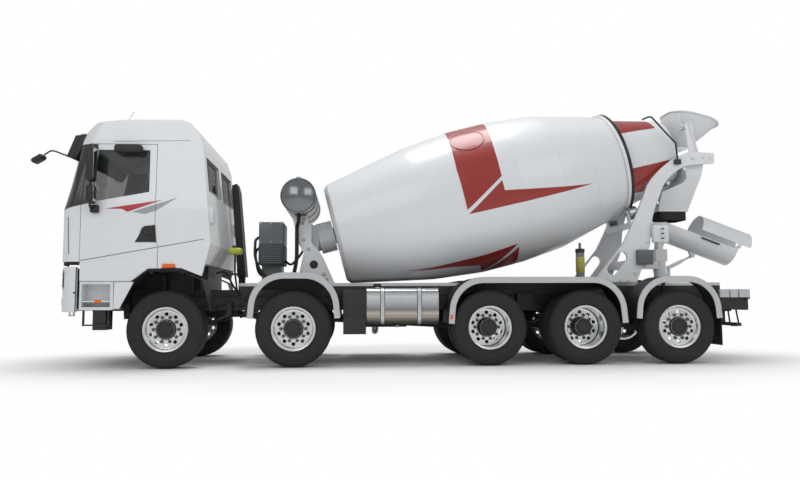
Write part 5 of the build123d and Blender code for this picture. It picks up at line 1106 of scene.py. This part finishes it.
# side box: battery cover with pressed ribs; silencer box with its straps and outlet
for name, low, high, radius, material in (
        # cover or strap, its corners, its edge radius, its finish
        ("box_cover", (0.796, 1.184, 0.700), (1.115, 1.196, 1.048), 0.005, black_polypropylene),
        ("box_low_cover", (0.803, 1.184, 0.445), (1.108, 1.194, 0.690), 0.005, black_polypropylene),
        ("silencer_cover", (0.110, -1.200, 0.500), (1.040, -1.188, 1.050), 0.006, aluminium_with_painted_reflection),
        ("silencer_strap_0", (0.220, -1.196, 0.464), (0.280, -0.616, 1.086), 0.004, galvanised_lip),
        ("silencer_strap_1", (0.870, -1.196, 0.464), (0.930, -0.616, 1.086), 0.004, galvanised_lip),
        ("box_rib_0", (0.832, 1.190, 0.730), (0.868, 1.202, 1.020), 0.005, black_polypropylene),
        ("box_rib_1", (0.938, 1.190, 0.730), (0.974, 1.202, 1.020), 0.005, black_polypropylene),
        ("box_rib_2", (1.044, 1.190, 0.730), (1.080, 1.202, 1.020), 0.005, black_polypropylene)):
    rounded_box(name, low, high, radius, material, "chassis")
pipe("tail_pipe", ((0.60, -0.90, 0.480), (0.60, -0.90, 0.400), (0.60, -1.150, 0.380)), 0.055, ground_steel,
     "chassis", sides=20, bend=0.06)

# ---- Oil cooler and water tank ------------------------------------------------------------
# The cooler is a folded steel case round a fin block, with two hoses to the gearbox.  The
# water tank is a polished shell with three black bands and a seam at each end.
WATER_MID = (1.763, 0.0, 2.402)
fin_block = moulded_black("cooler_fin_block", "#2A2E31", "#3E4448", 0.5, 3.0)
rounded_box("cooler_lower_case", (1.990, -0.085, 1.420), (2.346, 0.566, 1.722), 0.008, fin_block, "chassis")
rounded_box("cooler_upper_case", (1.992, -0.085, 1.730), (2.344, 0.566, 2.046), 0.010, machine_grey,
            "chassis")
for n in range(9):
    z = 1.446 + 0.030 * n
    rounded_box(f"cooler_fin_{n}", (2.030, 0.560, z), (2.310, 0.572, z + 0.010), 0.0, machine_grey, "chassis")
    rounded_box(f"cooler_front_fin_{n}", (2.340, -0.050, z), (2.352, 0.530, z + 0.010), 0.0, machine_grey,
                "chassis")
studs("cooler_screws", [(x, 0.566, z) for x in (2.015, 2.168, 2.322) for z in (1.755, 2.022)], 1, 0.014,
      0.008, ground_steel)
for n, (y, drop) in enumerate(((0.500, 1.397), (0.420, 1.300))):
    pipe(f"cooler_hose_{n}", ((2.340, y, 1.830 - 0.15 * n), (2.400, y, 1.790 - 0.15 * n), (2.410, y, 1.560),
                              (2.360, y, drop), (2.240, y - 0.05, 1.220), (2.00, y - 0.12, 1.190)), 0.020,
         black_polypropylene, "chassis", bend=0.10)
pipe("gearbox_hose", ((2.00, 0.20, 1.50), (1.90, 0.26, 1.42), (1.74, 0.28, 1.60), (1.64, 0.20, 1.86)), 0.018,
     black_polypropylene, "chassis", bend=0.10)
for n, y in enumerate((-0.55, 0.0, 0.55)):
    turned(f"water_band_{n}", ((y - 0.025, 0.249), (y - 0.025, 0.254), (y + 0.025, 0.254),
                               (y + 0.025, 0.249)), 64, WATER_MID, (0, 1, 0), chassis_black, "chassis")
for side, sign in SIDES:
    turned(f"water_end_seam_{side}", ((0.815, 0.2495), (0.815, 0.2545), (0.830, 0.2545), (0.832, 0.244)), 64,
           WATER_MID, (0, sign, 0), stainless_tank, "chassis")
pipe("water_outlet", ((1.763, 0.62, 2.165), (1.763, 0.62, 2.060), (1.800, 0.50, 1.980), (1.800, 0.47, 1.500),
                      (1.860, 0.47, 1.180)), 0.029, skirt_rubber, "chassis", bend=0.09)
pipe("water_fill", ((1.763, 0.700, 2.630), (1.763, 0.700, 2.690)), 0.035, ground_steel, "chassis", sides=20)

# ---- Hopper and chutes --------------------------------------------------------------------
# The hopper's lip is a rolled steel bead on stays and arms.  The collector's flanges are bolted,
# and a latch bar lies along each edge of the chute.
HOPPER_TILT, CHUTE_SLOPE = radians(15.0), radians(20.5)
SWIVEL_X, CHUTE_EDGE_Z = -3.885, 2.075
bead = [(-4.455 - a * cos(HOPPER_TILT), b, 3.772 - a * sin(HOPPER_TILT))
        for a, b in corner_loop(0.405, 0.430, 0.330)]
pipe("hopper_bead", bead + bead[:1], 0.013, drum_enamel, "chassis", sides=10, bend=0.0)
box_pairs(("collector_flange", (-4.425, 0.500, 2.985), (-4.092, 0.512, 3.022), 0.003, drum_enamel, "chassis"))
for side, sign in SIDES:
    pipe(f"hopper_stay_{side}", ((-4.10, 0.400, 3.800), (-4.120, 0.400, 3.600), (-4.185, 0.48, 3.560)), 0.016,
         drum_enamel, "chassis", bend=0.05, sign=sign)
    pipe(f"hopper_arm_{side}", ((-4.175, 0.556, 3.600), (-4.300, 0.556, 3.160)), 0.018, drum_enamel,
         "chassis", sign=sign)
    studs(f"collector_bolts_{side}", [(-4.29, sign * 0.548, 2.975), (-4.35, sign * 0.548, 2.975)], sign,
          0.030, 0.016, ground_steel)
    latch = [(SWIVEL_X - along * cos(CHUTE_SLOPE), 0.268, CHUTE_EDGE_Z - along * sin(CHUTE_SLOPE))
             for along in (0.62, 0.92)]
    pipe(f"chute_latch_{side}", latch, 0.013, black_polypropylene, "chute", sign=sign)

# ---- Rear post and tail -------------------------------------------------------------------
# Control boxes bolted to the post's outer side, the lubricator's cup and cap, and the black
# tail beam with its lamps, striped board and side boards.
rounded_box("control_box_upper", (-3.740, 0.606, 1.750), (-3.505, 0.700, 2.010), 0.012, drum_enamel,
            "chassis")
rounded_box("control_box_lower", (-3.500, 0.606, 1.420), (-3.260, 0.680, 1.640), 0.012, machine_grey,
            "chassis")
for n, z in enumerate((1.810, 1.880, 1.950)):
    rounded_box(f"control_lever_{n}", (-3.640, 0.698, z - 0.008), (-3.620, 0.770, z + 0.008), 0.004,
                black_polypropylene, "chassis")
LUBRICATOR = (-2.374, 0.700, 0.0)
turned("lubricator_glass", ((1.300, 0.0625), (1.306, 0.0655), (1.520, 0.0655), (1.526, 0.0625)), 32,
       LUBRICATOR, (0, 0, 1),
       moulded_black("amber_grease_in_clear_cup", "#B7B04A", "#77752F", 0.25, 6.0), "chassis")
turned("lubricator_cap", ((1.590, 0.0645), (1.600, 0.0680), (1.640, 0.0680), (1.650, 0.060),
                          (1.652, 0.024)), 32, LUBRICATOR, (0, 0, 1), black_polypropylene, "chassis")
tail_grey = sprayed_enamel("reflective_tail_stripe", "#B9BDC0", "#8A8780", 0.25, 0.6, 0.10)
box_pairs(("tail_lamp_case", (-4.712, 0.62, 0.925), (-4.690, 1.10, 1.030), 0.010,
           black_polypropylene, "chassis"),
          ("tail_side_bar", (-4.690, 1.070, 0.760), (-4.250, 1.112, 1.030), 0.004,
           black_polypropylene, "chassis"),
          ("side_reflector", (-0.392, 1.259, 0.640), (-0.362, 1.266, 0.700), 0.003, amber_lens, "chassis"))
for side, sign in SIDES:
    for n, (inner, outer, glass) in enumerate(((0.64, 0.78, clear_lens), (0.79, 0.93, amber_lens),
                                               (0.94, 1.08, red_lens))):
        rounded_box(f"tail_lamp_{side}_{n}", (-4.722, inner, 0.935), (-4.706, outer, 1.020), 0.008, glass,
                    "chassis", sign)
    for n in range(6):
        y = 0.08 + 0.165 * n
        rounded_box(f"tail_stripe_{side}_{n}", (-4.6925, y, 0.765), (-4.6885, y + 0.08, 0.885), 0.0,
                    red_enamel if n % 2 else tail_grey, "chassis", sign)
    for n, (x_low, x_high) in enumerate(((-4.395, -4.255), (-4.525, -4.410), (-4.690, -4.540))):
        rounded_box(f"tail_side_{side}_{n}", (x_low, 1.110, 0.926), (x_high, 1.152, 1.044), 0.005, tail_grey,
                    "chassis", sign)
    pipe(f"tail_step_{side}", ((-4.450, 0.985, 0.762), (-4.478, 0.985, 0.520), (-4.610, 0.985, 0.520),
                               (-4.570, 0.985, 0.762)), 0.012, black_polypropylene, "chassis", sign=sign)
rounded_box("plate_holder", (-4.706, -0.26, 0.930), (-4.694, 0.26, 1.030), 0.006, tail_grey, "chassis")
